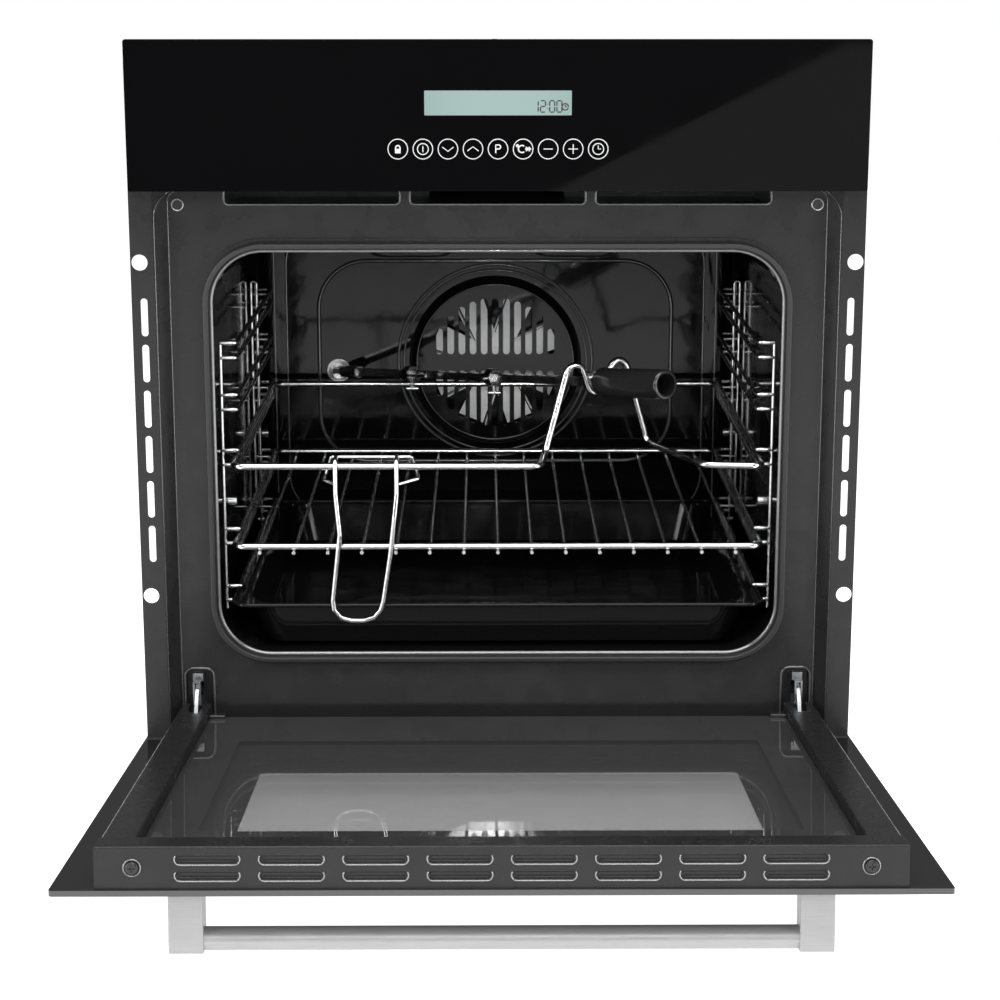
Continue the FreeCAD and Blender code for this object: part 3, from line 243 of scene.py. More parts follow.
def gloss_enamel():
    """Black vitreous enamel of the cavity, tray and fan cover, faintly flecked and wavy."""
    f = Finish("black vitreous enamel")
    fleck = f.noise(1400.0, 2.0).span(0.66, 0.74)
    colour = f.blend(fleck, (0.0045, 0.0045, 0.005, 1), (0.03, 0.03, 0.032, 1))
    waves = f.noise(38.0, 2.0) + f.noise(420.0, 2.0) * 0.06
    normal = f.bump(waves, 0.10, 0.0012)
    rough = f.noise(25.0, 3.0).span(0.3, 0.7, 0.05, 0.09)
    return f.done(f.surface(Base_Color=colour, Roughness=rough, Normal=normal, Specular_IOR_Level=0.2))


def edge_highlight_enamel(name, level):
    """Thin glossy coat over rolled and pressed edges, coloured lighter than the enamel beside them as a painted
    highlight.
    """
    f = Finish(name)
    wear = f.noise(140.0, 3.0)
    colour = f.blend(wear, grey(level), grey(level * 1.6))
    rough = wear.span(0.3, 0.7, 0.10, 0.20)
    return f.done(f.surface(Base_Color=colour, Metallic=0.5, Roughness=rough, Specular_IOR_Level=1.0))


def black_panel_glass():
    f = Finish("black panel glass")
    haze = f.noise(14.0, 4.0)
    colour = f.blend(haze, (0.0008, 0.0008, 0.001, 1), (0.0014, 0.0014, 0.0017, 1))
    rough = haze.span(0.3, 0.7, 0.02, 0.045)
    return f.done(f.surface(Base_Color=colour, Roughness=rough, Specular_IOR_Level=0.28))


def window_mask(f, half_width, low, high, radius):
    """1 inside a rounded clear field of the door, measured on the closed door."""
    x, y, z = f.axes()
    up = (z - HINGE_AT.z) * math.cos(OPEN) - (y - HINGE_AT.y) * math.sin(OPEN)
    middle = (low + high) / 2 - HINGE_AT.z
    across = (abs(x) - (half_width - radius)).most(0.0)
    along = (abs(up - middle) - ((high - low) / 2 - radius)).most(0.0)
    distance = (across * across + along * along).root()
    return distance.span(radius - 0.0004, radius + 0.0004, 1.0, 0.0)


def door_glass(name, half_width, low, high, radius, tint, ink):
    """Glass with a black printed border round a clear field."""
    f = Finish(name)
    clear = window_mask(f, half_width, low, high, radius)
    smear = f.noise(16.0, 4.0)
    rough = smear.span(0.3, 0.75, 0.012, 0.035)
    colour = f.blend(smear, grey(ink), grey(ink * 1.6))
    printed = f.surface(Base_Color=colour, Roughness=rough, Specular_IOR_Level=0.9)
    see = f.surface(Base_Color=grey(ink * 3), Roughness=rough, Alpha=smear * 0.04 + tint)
    return f.done(f.mixed(clear, printed, see))


def seal_rubber():
    f = Finish("black seal rubber")
    grain = f.noise(900.0, 3.0)
    colour = f.blend(grain, grey(0.006), grey(0.012))
    rough = grain.span(0.3, 0.7, 0.45, 0.6)
    normal = f.bump(grain, 0.2, 0.0002)
    return f.done(f.surface(Base_Color=colour, Roughness=rough, Normal=normal))


def wool():
    f = Finish("mineral wool")
    fibre = f.noise(40.0, 8.0, f.stretched(1, 14, 14), 0.7)
    colour = f.blend(fibre, (0.28, 0.25, 0.17, 1), (0.52, 0.49, 0.38, 1))
    return f.done(f.surface(Base_Color=colour, Roughness=0.95, Normal=f.bump(fibre, 0.9, 0.003)))


def zinc():
    """Galvanised sheet with its crystal pattern."""
    f = Finish("galvanised sheet")
    crystal = f.value("ShaderNodeSeparateColor", None, {"Color": f.cells(70.0)})
    streak = f.noise(30.0, 5.0, f.stretched(1, 1, 6))
    tone = crystal * 0.6 + streak * 0.4
    colour = f.blend(tone, (0.22, 0.225, 0.23, 1), (0.40, 0.41, 0.42, 1))
    rough = tone.span(0.2, 0.8, 0.30, 0.46)
    normal = f.bump(streak, 0.06, 0.0006)
    return f.done(f.surface(Base_Color=colour, Metallic=0.92, Roughness=rough, Normal=normal))


def black_plastic(name="black moulded plastic", gloss=0.36):
    f = Finish(name)
    grain = f.noise(1100.0, 3.0)
    colour = f.blend(f.noise(18.0), grey(0.008), grey(0.014))
    rough = f.noise(45.0, 3.0).span(0.3, 0.7, gloss - 0.05, gloss + 0.06)
    return f.done(f.surface(Base_Color=colour, Roughness=rough, Normal=f.bump(grain, 0.12, 0.0002)))


def display_glow():
    """Pale liquid-crystal field, a little brighter in the middle."""
    f = Finish("display field")
    x, y, z = f.axes()
    fall = (x * x).span(0.0, 0.0036, 0.0, 0.55)
    weave = f.noise(3000.0, 1.0) * 0.25
    colour = f.blend(fall + weave, (0.30, 0.43, 0.40, 1), (0.22, 0.335, 0.31, 1))
    dark = (0.05, 0.06, 0.06, 1)
    lit = f.surface(Base_Color=dark, Roughness=0.3, Emission_Color=colour, Emission_Strength=0.92)
    return f.done(lit)


def print_ink(name, low, high, glow):
    f = Finish(name)
    colour = f.blend(f.noise(2200.0, 2.0), grey(low), grey(high))
    # A glow above zero makes the ink emit light: painted light on print, which is no lamp.
    return f.done(
        f.surface(Base_Color=colour, Roughness=0.4, Emission_Color=colour, Emission_Strength=glow)
    )


def circuit_board():
    f = Finish("circuit board")
    track = f.value(
        "ShaderNodeTexBrick",
        {"offset": 0.37},
        {"Vector": f.place, "Scale": 260.0, "Mortar Size": 0.06},
        "Fac",
    )
    colour = f.blend(track, (0.01, 0.07, 0.03, 1), (0.03, 0.16, 0.07, 1))
    return f.done(f.surface(Base_Color=colour, Roughness=0.4))


def chrome():
    """Bright nickel-chrome wire with the slight ripple of drawn rod."""
    f = Finish("chromed wire")
    ripple = f.noise(260.0, 3.0)
    colour = f.blend(ripple, (0.50, 0.50, 0.505, 1), (0.70, 0.70, 0.70, 1))
    rough = f.noise(120.0, 2.0).span(0.3, 0.7, 0.14, 0.26)
    normal = f.bump(ripple, 0.18, 0.0005)
    return f.done(f.surface(Base_Color=colour, Metallic=1.0, Roughness=rough, Normal=normal))


def brushed_steel():
    """Light steel of the handle, brushed along its length."""
    f = Finish("brushed handle steel")
    streak = f.noise(30.0, 6.0, f.stretched(1.5, 42, 42), 0.65)
    patch = f.noise(55.0, 3.0, f.stretched(1, 2, 2))
    colour = f.blend(streak * 0.7 + patch * 0.3, grey(0.25), grey(0.40))
    rough = streak.span(0.25, 0.75, 0.34, 0.50)
    normal = f.bump(streak, 0.16, 0.0004)
    return f.done(f.surface(Base_Color=colour, Metallic=0.45, Roughness=rough, Normal=normal))


def metal(name, dark, light, rough, metallic=1.0, scale=120.0, bump=0.08):
    """A plain metal with a worn, slightly uneven surface."""
    f = Finish(name)
    wear = f.noise(scale, 4.0)
    colour = f.blend(wear, (*dark, 1), (*light, 1))
    level = wear.span(0.25, 0.75, rough - 0.06, rough + 0.08)
    normal = f.bump(wear, bump, 0.0004)
    return f.done(f.surface(Base_Color=colour, Metallic=metallic, Roughness=level, Normal=normal))


def lamp_glass():
    f = Finish("lamp glass")
    ripple = f.noise(180.0, 2.0)
    colour = f.blend(ripple, (0.50, 0.50, 0.47, 1), (0.66, 0.66, 0.62, 1))
    return f.done(
        f.surface(Base_Color=colour, Roughness=0.14, Alpha=0.75, Normal=f.bump(ripple, 0.4, 0.0008))
    )


# ------------------------------------------------------------ making pieces


def add_piece(name, mesh, material, body, turn=None):
    """A finished mesh as a piece that sits at the origin and rides on a body."""
    if turn is not None:
        mesh.transform(turn)
    mesh.materials.clear()
    mesh.materials.append(material)
    for face in mesh.polygons:
        face.use_smooth = True
    mesh.update()
    piece = bpy.data.objects.new(name, mesh)
    bpy.context.scene.collection.objects.link(piece)
    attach(piece, body)
    return piece


class Builder:
    """A geometry-nodes tree under construction, with named inputs for its sizes."""

    def __init__(self, name, sizes):
        self.tree = bpy.data.node_groups.new(name, "GeometryNodeTree")
        face = self.tree.interface
        face.new_socket("Base", in_out="INPUT", socket_type="NodeSocketGeometry")
        self.keys = {}
        for label, kind in sizes.items():
            item = face.new_socket(label, in_out="INPUT", socket_type=kind)
            self.keys[label] = item.identifier
        face.new_socket("Made", in_out="OUTPUT", socket_type="NodeSocketGeometry")
        self.given = self.tree.nodes.new("NodeGroupInput").outputs
        self.result = self.tree.nodes.new("NodeGroupOutput").inputs[0]

    def node(self, kind, settings=None, inputs=None):
        return add_node(self.tree, kind, settings, inputs)

    def pattern(self):
        """The shape to repeat, in its own space."""
        settings = {"transform_space": "ORIGINAL"}
        return self.node("GeometryNodeObjectInfo", settings, {"Object": self.given["Pattern"]})

    def finish(self, geometry):
        """Ends the tree as plain mesh with its material set."""
        real = self.node("GeometryNodeRealizeInstances", None, {"Geometry": geometry})
        inputs = {"Geometry": real.outputs[0], "Material": self.given["Finish"]}
        painted = self.node("GeometryNodeSetMaterial", None, inputs)
        self.tree.links.new(painted.outputs[0], self.result)
        return self

    def run(self, base, values):
        """The mesh that the tree makes from a base mesh and these sizes."""
        maker = bpy.data.objects.new("maker", base)
        bpy.context.scene.collection.objects.link(maker)
        step = maker.modifiers.new("make", "NODES")
        step.node_group = self.tree
        for label, value in values.items():
            step[self.keys[label]] = value
        bpy.context.view_layer.update()
        graph = bpy.context.evaluated_depsgraph_get()
        mesh = bpy.data.meshes.new_from_object(maker.evaluated_get(graph))
        maker.modifiers.remove(step)
        bpy.data.objects.remove(maker)
        return mesh


def sweep_builder():
    """Round beading laid along every line of the base mesh, as thick as each point says."""
    sizes = {
        "Thickness": "NodeSocketFloat",
        "Sides": "NodeSocketInt",
        "Finish": "NodeSocketMaterial",
    }
    b = Builder("beading", sizes)
    line = b.node("GeometryNodeMeshToCurve", None, {"Mesh": b.given["Base"]})
    thick = b.node("GeometryNodeInputNamedAttribute", {"data_type": "FLOAT"}, {"Name": "thick"})
    inputs = {"Curve": line.outputs[0], "Radius": thick.outputs[0]}
    sized = b.node("GeometryNodeSetCurveRadius", None, inputs)
    inputs = {"Resolution": b.given["Sides"], "Radius": b.given["Thickness"]}
    section = b.node("GeometryNodeCurvePrimitiveCircle", None, inputs)
    inputs = {
        "Curve": sized.outputs[0],
        "Profile Curve": section.outputs[0],
        "Scale": thick.outputs[0],
        "Fill Caps": True,
    }
    swept = b.node("GeometryNodeCurveToMesh", None, inputs)
    return b.finish(swept.outputs[0])


def repeat_builder():
    """One pattern piece set at every point of the base mesh, turned as each point says."""
    sizes = {
        "Pattern": "NodeSocketObject",
        "Size": "NodeSocketFloat",
        "Finish": "NodeSocketMaterial",
    }
    b = Builder("repeats", sizes)
    shape = b.pattern()
    turn = b.node("GeometryNodeInputNamedAttribute", {"data_type": "FLOAT_VECTOR"}, {"Name": "turn"})
    spin = b.node("FunctionNodeEulerToRotation", None, {"Euler": turn.outputs[0]})
    inputs = {
        "Points": b.given["Base"],
        "Instance": shape.outputs["Geometry"],
        "Rotation": spin.outputs[0],
        "Scale": b.given["Size"],
    }
    placed = b.node("GeometryNodeInstanceOnPoints", None, inputs)
    return b.finish(placed.outputs[0])


def rows_builder():
    """One pattern piece repeated over a regular field of columns and rows."""
    sizes = {
        "Pattern": "NodeSocketObject",
        "Columns": "NodeSocketInt",
        "Rows": "NodeSocketInt",
        "Width": "NodeSocketFloat",
        "Depth": "NodeSocketFloat",
        "Middle": "NodeSocketVector",
        "Finish": "NodeSocketMaterial",
    }
    b = Builder("rows", sizes)
    inputs = {
        "Size X": b.given["Width"],
        "Size Y": b.given["Depth"],
        "Vertices X": b.given["Columns"],
        "Vertices Y": b.given["Rows"],
    }
    field = b.node("GeometryNodeMeshGrid", None, inputs)
    shape = b.pattern()
    inputs = {"Points": field.outputs["Mesh"], "Instance": shape.outputs["Geometry"]}
    placed = b.node("GeometryNodeInstanceOnPoints", None, inputs)
    inputs = {"Geometry": placed.outputs[0], "Translation": b.given["Middle"]}
    moved = b.node("GeometryNodeTransform", None, inputs)
    return b.finish(moved.outputs[0])


SWEEP = sweep_builder()
REPEAT = repeat_builder()
ROWS = rows_builder()


def swept(lines, material, sides=12):
    """Beading along lines, each given as its points, its radius and whether it closes."""
    points, edges, thick = [], [], []
    for line, radius, closed in lines:
        first = len(points)
        points += [tuple(p) for p in line]
        thick += [radius] * len(line)
        edges += [(k, k + 1) for k in range(first, len(points) - 1)]
        if closed:
            edges.append((len(points) - 1, first))
    base = bpy.data.meshes.new("lines")
    base.from_pydata(points, edges, [])
    base.attributes.new("thick", "FLOAT", "POINT").data.foreach_set("value", thick)
    return SWEEP.run(base, {"Thickness": 1.0, "Sides": sides, "Finish": material})


def repeated(pattern, places, material, size=1.0):
    """The pattern at each place, given as its point and its turn about X, Y and Z."""
    base = bpy.data.meshes.new("points")
    base.from_pydata([tuple(p) for p, turn in places], [], [])
    turns = base.attributes.new("turn", "FLOAT_VECTOR", "POINT")
    turns.data.foreach_set("vector", [n for p, turn in places for n in turn])
    mesh = REPEAT.run(base, {"Pattern": pattern, "Size": size, "Finish": material})
    return mesh


def pattern_object(name, vertices, faces):
    mesh = bpy.data.meshes.new(name)
    mesh.from_pydata(vertices, [], faces)
    return bpy.data.objects.new(name, mesh)


def lathed(name, outline, sides):
    """A closed turned shape about Z; the outline's first and last points lie on the axis."""
    vertices = [(0, 0, outline[0][1])]
    for radius, height in outline[1:-1]:
        for k in range(sides):
            a = 2 * math.pi * k / sides
            vertices.append((radius * math.cos(a), radius * math.sin(a), height))
    vertices.append((0, 0, outline[-1][1]))
    last = len(vertices) - 1
    faces = []
    rings = len(outline) - 2
    for k in range(sides):
        n = (k + 1) % sides
        faces.append((0, 1 + n, 1 + k))
        for r in range(rings - 1):
            a, b = 1 + r * sides, 1 + (r + 1) * sides
            faces.append((a + k, a + n, b + n, b + k))
        top = 1 + (rings - 1) * sides
        faces.append((last, top + k, top + n))
    return pattern_object(name, vertices, faces)


# ------------------------------------------------------------ lines


def arc(cx, cz, radius, start, end, steps=12):
    """Points of an arc in a flat drawing, angles in degrees."""
    turns = [math.radians(start + (end - start) * k / steps) for k in range(steps + 1)]
    return [(cx + radius * math.cos(t), cz + radius * math.sin(t)) for t in turns]


def rounded(x0, x1, z0, z1, radius, steps=10):
    """Points round a rectangle with rounded corners."""
    points = arc(x1 - radius, z0 + radius, radius, 270, 360, steps)
    points += arc(x1 - radius, z1 - radius, radius, 0, 90, steps)
    points += arc(x0 + radius, z1 - radius, radius, 90, 180, steps)
    points += arc(x0 + radius, z0 + radius, radius, 180, 270, steps)
    return points


def standing(points, y):
    return [(x, y, z) for x, z in points]


def flattened(mesh, y, share):
    """Presses beading flat against the plane at y."""
    for v in mesh.vertices:
        v.co.y = y + (v.co.y - y) * share
    return mesh


# ------------------------------------------------------------ control panel print


def seven_segments(digit, x, z, wide, high):
    """The strokes of one display digit whose lower left corner is at x, z."""
    mid, top, right = z + high / 2, z + high, x + wide
    gap = 0.45 * MM
    strokes = {
        "a": [(x + gap, top), (right - gap, top)],
        "b": [(right, mid + gap), (right, top - gap)],
        "c": [(right, z + gap), (right, mid - gap)],
        "d": [(x + gap, z), (right - gap, z)],
        "e": [(x, z + gap), (x, mid - gap)],
        "f": [(x, mid + gap), (x, top - gap)],
        "g": [(x + gap, mid), (right - gap, mid)],
    }
    lit = {"0": "abcdef", "1": "bc", "2": "abged"}[digit]
    return [strokes[s] for s in lit]


def display(inks):
    """Liquid-crystal field with the time and a small clock sign."""
    half, z0, z1 = 57.8 * MM, 536.4 * MM, 555.6 * MM
    face = PANEL_FACE - 0.12 * MM
    outline = rounded(-half, half, z0, z1, 0.6 * MM, 3)
    front = standing(outline, face)
    back = standing(outline, face + 0.3 * MM)
    n = len(outline)
    faces = [tuple(range(n)), tuple(reversed(range(n, 2 * n)))]
    faces += [(k, k + n, (k + 1) % n + n, (k + 1) % n) for k in range(n)]
    mesh = bpy.data.meshes.new("display")
    mesh.from_pydata(front + back, [], faces)
    piece = add_piece("display_field", mesh, inks["display"], "oven_body")
    for polygon in piece.data.polygons:
        polygon.use_smooth = False
    strokes = []
    high, wide, x = 8.8 * MM, 3.9 * MM, 27.6 * MM
    low = 538.9 * MM
    for digit in "1200":  # twelve o'clock
        strokes += seven_segments(digit, x, low, wide, high)
        x += 5.7 * MM
        if digit == "2":
            for dot in (0.3, 0.7):
                z = low + high * dot
                strokes.append([(x - 0.25 * MM, z), (x + 0.25 * MM, z)])
            x += 1.5 * MM
    cx, cz = 52.7 * MM, 543.0 * MM
    strokes.append(arc(cx, cz, 2.5 * MM, 0, 345, 20))
    strokes.append([(cx, cz + 1.6 * MM), (cx, cz), (cx + 1.3 * MM, cz)])
    lines = [(standing(s, face), 0.5 * MM, False) for s in strokes]
    mesh = flattened(swept(lines, inks["digits"], 8), face, 0.25)
    add_piece("display_digits", mesh, inks["digits"], "oven_body")


def touch_signs():
    """Nine signs, each as strokes round its own centre, in millimetres."""
    small_clock = [arc(0, 0, 4.3, 0, 360, 24), [(0, 2.8), (0, 0), (2.2, 0)]]
    letter = [[(-1.8, -3.2), (-1.8, 3.2), (0.4, 3.2)], arc(0.4, 1.6, 1.6, 90, -90, 8)]
    letter.append([(0.4, 0), (-1.8, 0)])
    degrees = [arc(-4.4, 2.5, 0.8, 0, 360, 10), arc(-0.9, 0, 2.8, 50, 310, 14)]
    degrees += [[(2.3, -1.6), (3.9, 0), (2.3, 1.6)], [(4.4, -1.6), (6.0, 0), (4.4, 1.6)]]
    degrees.append([(1.6, 0), (5.6, 0)])
    lock = [arc(0, 1.0, 1.7, 0, 180, 10), [(-1.7, 1.0), (-1.7, 0)], [(1.7, 1.0), (1.7, 0)]]
    lock += [[(-2.2, z), (2.2, z)] for z in (-0.4, -1.2, -2.0, -2.8)]
    return [
        lock,
        [arc(0, 0, 4.3, 0, 360, 24), [(0, -2.4), (0, 2.4)]],
        [[(-4.4, 1.5), (0, -1.8), (4.4, 1.5)]],
        [[(-4.4, -1.5), (0, 1.8), (4.4, -1.5)]],
        letter,
        degrees,
        [[(-3.6, 0), (3.6, 0)]],
        [[(-3.8, 0), (3.8, 0)], [(0, -3.8), (0, 3.8)]],
        small_clock,
    ]


def touch_fields(inks):
    face = PANEL_FACE
    pitch, z = 19.72 * MM, 510.2 * MM
    lines = []
    for k, sign in enumerate(touch_signs()):
        x = (k - 4) * pitch
        lines.append((standing(arc(x, z, 7.75 * MM, 0, 360, 40)[:-1], face), 0.36 * MM, True))
        thick = 0.56 if k in (0, 4, 5) else 0.38
        for stroke in sign:
            placed = [(x + px * MM, z + pz * MM) for px, pz in stroke]
            lines.append((standing(placed, face), thick * MM, False))
    mesh = flattened(swept(lines, inks["signs"], 8), face, 0.2)
    add_piece("touch_signs", mesh, inks["signs"], "oven_body")


# ------------------------------------------------------------ pressed front


def channel_depth(x):
    """Y of the front plate's face at a distance x from the middle."""
    across = max(0.0, min(1.0, (CHANNEL_X - abs(x)) / CHANNEL_WIDTH))
    shallow = FLANGE_FACE + 1.2 * MM
    return shallow + (PLATE_FACE - shallow) * across


def front_beads(enamel):
    """Rolled edges along the sloping channels, round the vents and round the hinge pockets, in the lighter edge
    finish that paints their highlight lines.
    """
    lines = []
    low = 20 * MM
    for side in (-1, 1):
        for inset, top, bend, radius in ((0.4, 477.5, 24.0, 0.7), (10.3, 474.5, 9.0, 0.6)):
            x = CHANNEL_X - inset * MM
            r = bend * MM
            path = [(x, low), (x, top * MM - r)]
            path += arc(x - r, top * MM - r, r, 0, 90, 10)
            points = [(side * px, channel_depth(px) + 0.3 * MM, pz) for px, pz in path]
            lines.append((points, radius * MM, False))
    step = (2 * (CHANNEL_X - CHANNEL_WIDTH - 45 * MM) + 8 * MM) / 3
    wide = (step - 8 * MM) / 2
    for k in (-1, 0, 1):
        x = k * step
        low_z = PANEL_LOW.z - 14 * MM
        outline = rounded(x - wide, x + wide, low_z, low_z + 13 * MM, 4 * MM, 6)
        lines.append((standing(outline, PLATE_FACE + 0.3 * MM), 0.9 * MM, True))
    for side in (-1, 1):
        x0, x1 = sorted((side * 240.0 * MM, side * 264.5 * MM))
        outline = rounded(x0, x1, 18 * MM, 72.5 * MM, 7 * MM, 6)
        lines.append((standing(outline, PLATE_FACE + 0.2 * MM), 1.1 * MM, True))
    add_piece("front_plate_beads", swept(lines, enamel), enamel, "oven_body")


def mouth_beads(enamel, gloss):
    """Smooth ridge round the seal and the rolled lip of the cavity mouth, in lighter finishes that paint their
    highlight lines, brightest on the lip.
    """
    out = 1.75 * MM
    x0, x1 = SEAL_LOW.x - out, SEAL_HIGH.x + out
    z0, z1 = SEAL_LOW.z - out, SEAL_HIGH.z + out
    ridge = rounded(x0, x1, z0, z1, 51.2 * MM, 20)
    mesh = swept([(standing(ridge, PLATE_FACE), 1.6 * MM, True)], enamel, 16)
    add_piece("seal_ridge", mesh, enamel, "oven_body")
    inset = 6.4 * MM
    lip = rounded(
        SEAL_LOW.x + inset, SEAL_HIGH.x - inset, SEAL_LOW.z + inset, SEAL_HIGH.z - inset, 43.2 * MM, 20
    )
    mesh = swept([(standing(lip, PLATE_FACE - 0.9 * MM), 1.6 * MM, True)], gloss, 14)
    add_piece("mouth_lip", mesh, gloss, "oven_body")


def rear_wall_press(gloss, bright):
    """Low ridges pressed into the cavity's back wall and the rolled rim of the fan cover, in a lighter finish that
    paints their highlight lines, and bright strips that paint the highlights on the wall's rounded corners.
    """
    panel = rounded(-176 * MM, 176 * MM, 163 * MM, 366 * MM, 48 * MM, 14)
    lines = [(standing(panel, BACK_WALL + 0.4 * MM), 2.2 * MM, True)]
    # Painted highlights: bright strips traced round the back wall's rounded corners and up its sides, standing for
    # the reflections there.
    corner = rounded(-208 * MM, 208 * MM, 106 * MM, 404 * MM, 42 * MM, 12)
    painted_corner_highlights = [(standing(corner, BACK_WALL), 0.8 * MM, True)]
    y = BACK_WALL - 2 * MM
    for x in (-220 * MM, 220 * MM):
        painted_corner_highlights.append(([(x, y, 130 * MM), (x, y, 380 * MM)], 0.8 * MM, False))
    add_piece("back_corner_edges", swept(painted_corner_highlights, bright), bright, "oven_body")
    rim = (COVER_HIGH.x - COVER_LOW.x) / 2
    rings = ((rim + 5 * MM, 1.6, 0.2), (rim - 0.6 * MM, 1.2, 0.8), (rim - 14 * MM, 0.8, 10.6))
    for radius, thick, out in rings:
        circle = arc(0, FAN_Z, radius, 0, 360, 72)[:-1]
        lines.append((standing(circle, BACK_WALL - out * MM), thick * MM, True))
    add_piece("back_wall_ridges", swept(lines, gloss), gloss, "oven_body")


def spit_socket_rim(finish):
    """Bright rolled rim of the drive cup in the cavity's back wall."""
    middle = (CUP_LOW + CUP_HIGH) / 2
    rim = (CUP_HIGH.x - CUP_LOW.x) / 2
    circle = arc(middle.x, middle.z, rim - 0.5 * MM, 0, 360, 40)[:-1]
    mesh = swept([(standing(circle, CUP_LOW.y + 0.4 * MM), 0.9 * MM, True)], finish, 10)
    add_piece("spit_socket_rim", mesh, finish, "oven_body")


def plate_screw_rims(finish):
    """Pressed cups round the two screws under the control panel, coloured as bright steel: painted highlight
    rings.
    """
    z = (SCREWS_LOW.z + SCREWS_HIGH.z) / 2
    across = (SCREWS_HIGH.z - SCREWS_LOW.z) / 2
    lines = []
    for x in (SCREWS_LOW.x + across, SCREWS_HIGH.x - across):
        circle = arc(x, z, across + 0.5 * MM, 0, 360, 32)[:-1]
        lines.append((standing(circle, PLATE_FACE - 0.3 * MM), 0.6 * MM, True))
    add_piece("plate_screw_rims", swept(lines, finish, 8), finish, "oven_body")


def roof_hooks(finish):
    """Small bright brackets that hold the grill tubes to the roof."""
    lines = []
    z = GRILL_HIGH.z
    for x in (-118 * MM, -26 * MM, 20 * MM, 112 * MM):
        y = BACK_WALL - 120 * MM
        path = [(x, y, z + 17 * MM), (x, y, z - 1 * MM), (x + 5 * MM, y - 3 * MM, z - 4 * MM)]
        lines.append((path, 1.3 * MM, False))
    add_piece("grill_hooks", swept(lines, finish, 8), finish, "oven_body")


# ------------------------------------------------------------ outer case


def case_screws(finish):
    """Hexagon-head sheet screws with a pressed washer, round the rear and along the sides."""
    outline = [(0, -1.0), (4.6, -1.0), (4.6, 0.5), (3.2, 0.8), (3.1, 2.1), (2.6, 2.4), (0, 2.4)]
    head = lathed("case screw", [(r * MM, h * MM) for r, h in outline], 6)
    places = []
    back = (-math.pi / 2, 0.0, 0.0)
    inset = 7 * MM
    for z in (30, 160, 300, 440, 570):
        for x in (REAR_LOW.x + inset, REAR_HIGH.x - inset):
            places.append(((x, REAR_HIGH.y, z * MM), back))
    for x in (-150, 0, 150):
        for z in (12 * MM, REAR_HIGH.z - 9 * MM):
            places.append(((x * MM, REAR_HIGH.y, z), back))
    for side in (-1, 1):
        turn = (0.0, side * math.pi / 2, 0.0)
        rear_edge = ((0.25, 60), (0.25, 320), (0.25, 560))
        for y, z in rear_edge + ((0.0, 575), (-0.18, 575), (-0.05, 14), (0.15, 14)):
            places.append(((side * SIDE_HIGH.x, y, z * MM), turn))
    for x, y in ((-0.2, -0.2), (0.2, -0.2), (-0.2, 0.2), (0.2, 0.2), (0, 0.25)):
        places.append(((x, y, TOP_HIGH.z), (0.0, 0.0, 0.0)))
    add_piece("case_screws", repeated(head, places, finish), finish, "oven_body")


def case_ribs(finish):
    """Stiffening ribs pressed into the side, top and rear sheets."""
    lines = []
    sunk = 3.6 * MM
    for side in (-1, 1):
        x = side * (SIDE_HIGH.x - sunk)
        for y in (-0.15, -0.02, 0.11):
            lines.append(([(x, y, 70 * MM), (x, y, 480 * MM)], 5 * MM, False))
        lines.append(([(x, -0.17, 40 * MM), (x, 0.13, 40 * MM)], 4.6 * MM, False))
    z = TOP_HIGH.z - sunk
    for x in (-0.17, -0.06, 0.06, 0.17):
        lines.append(([(x, -0.2, z), (x, 0.2, z)], 5 * MM, False))
    for z in (90, 180, 270):
        y = REAR_HIGH.y - sunk
        lines.append(([(-0.21, y, z * MM), (0.21, y, z * MM)], 5 * MM, False))
    add_piece("case_ribs", swept(lines, finish, 16), finish, "oven_body")


# ------------------------------------------------------------ door


def stadium(length, height, steps=8):
    """Points round a round-ended slot centred on the origin, in a flat drawing."""
    half = (length - height) / 2
    r = height / 2
    return arc(half, 0, r, -90, 90, steps) + arc(-half, 0, r, 90, 270, steps)


def louvre():
    """A round-ended dish pressed into the rail, with a thin rolled rim."""
    rings = []
    for length, height, level in (
        (43.6, 7.6, -0.15),
        (43.2, 7.2, 0.28),
        (42.2, 6.2, 0.22),
        (41.2, 5.0, -0.5),
        (40.2, 4.0, -1.7),
        (39.0, 2.8, -2.0),
        (40.6, 4.6, -2.2),
        (41.6, 5.4, -1.0),
    ):
        rings.append([(x * MM, y * MM, level * MM) for x, y in stadium(length, height)])
    count = len(rings[0])
    vertices = [p for ring in rings for p in ring]
    faces = []
    for a in range(5):
        b = a + 1
        for k in range(count):
            n = (k + 1) % count
            faces.append((a * count + k, a * count + n, b * count + n, b * count + k))
    faces.append(tuple(5 * count + k for k in range(count)))
    under = [0, 7, 6]
    for a, b in zip(under, under[1:]):
        for k in range(count):
            n = (k + 1) % count
            faces.append((a * count + n, a * count + k, b * count + k, b * count + n))
    faces.append(tuple(6 * count + k for k in reversed(range(count))))
    return pattern_object("louvre", vertices, faces)


def rail_louvres(enamel):
    """Two rows of eight dishes in the door's top rail, placed on the closed door."""
    field = {
        "Pattern": louvre(),
        "Columns": LOUVRES,
        "Rows": 2,
        "Width": (LOUVRES - 1) * LOUVRE_PITCH,
        "Depth": LOUVRE_ROW_GAP,
        "Middle": (0.0, RAIL_MIDDLE, RAIL_TOP),
        "Finish": enamel,
    }
    mesh = ROWS.run(bpy.data.meshes.new("none"), field)
    add_piece("rail_louvres", mesh, enamel, "door", DOOR_TURN)


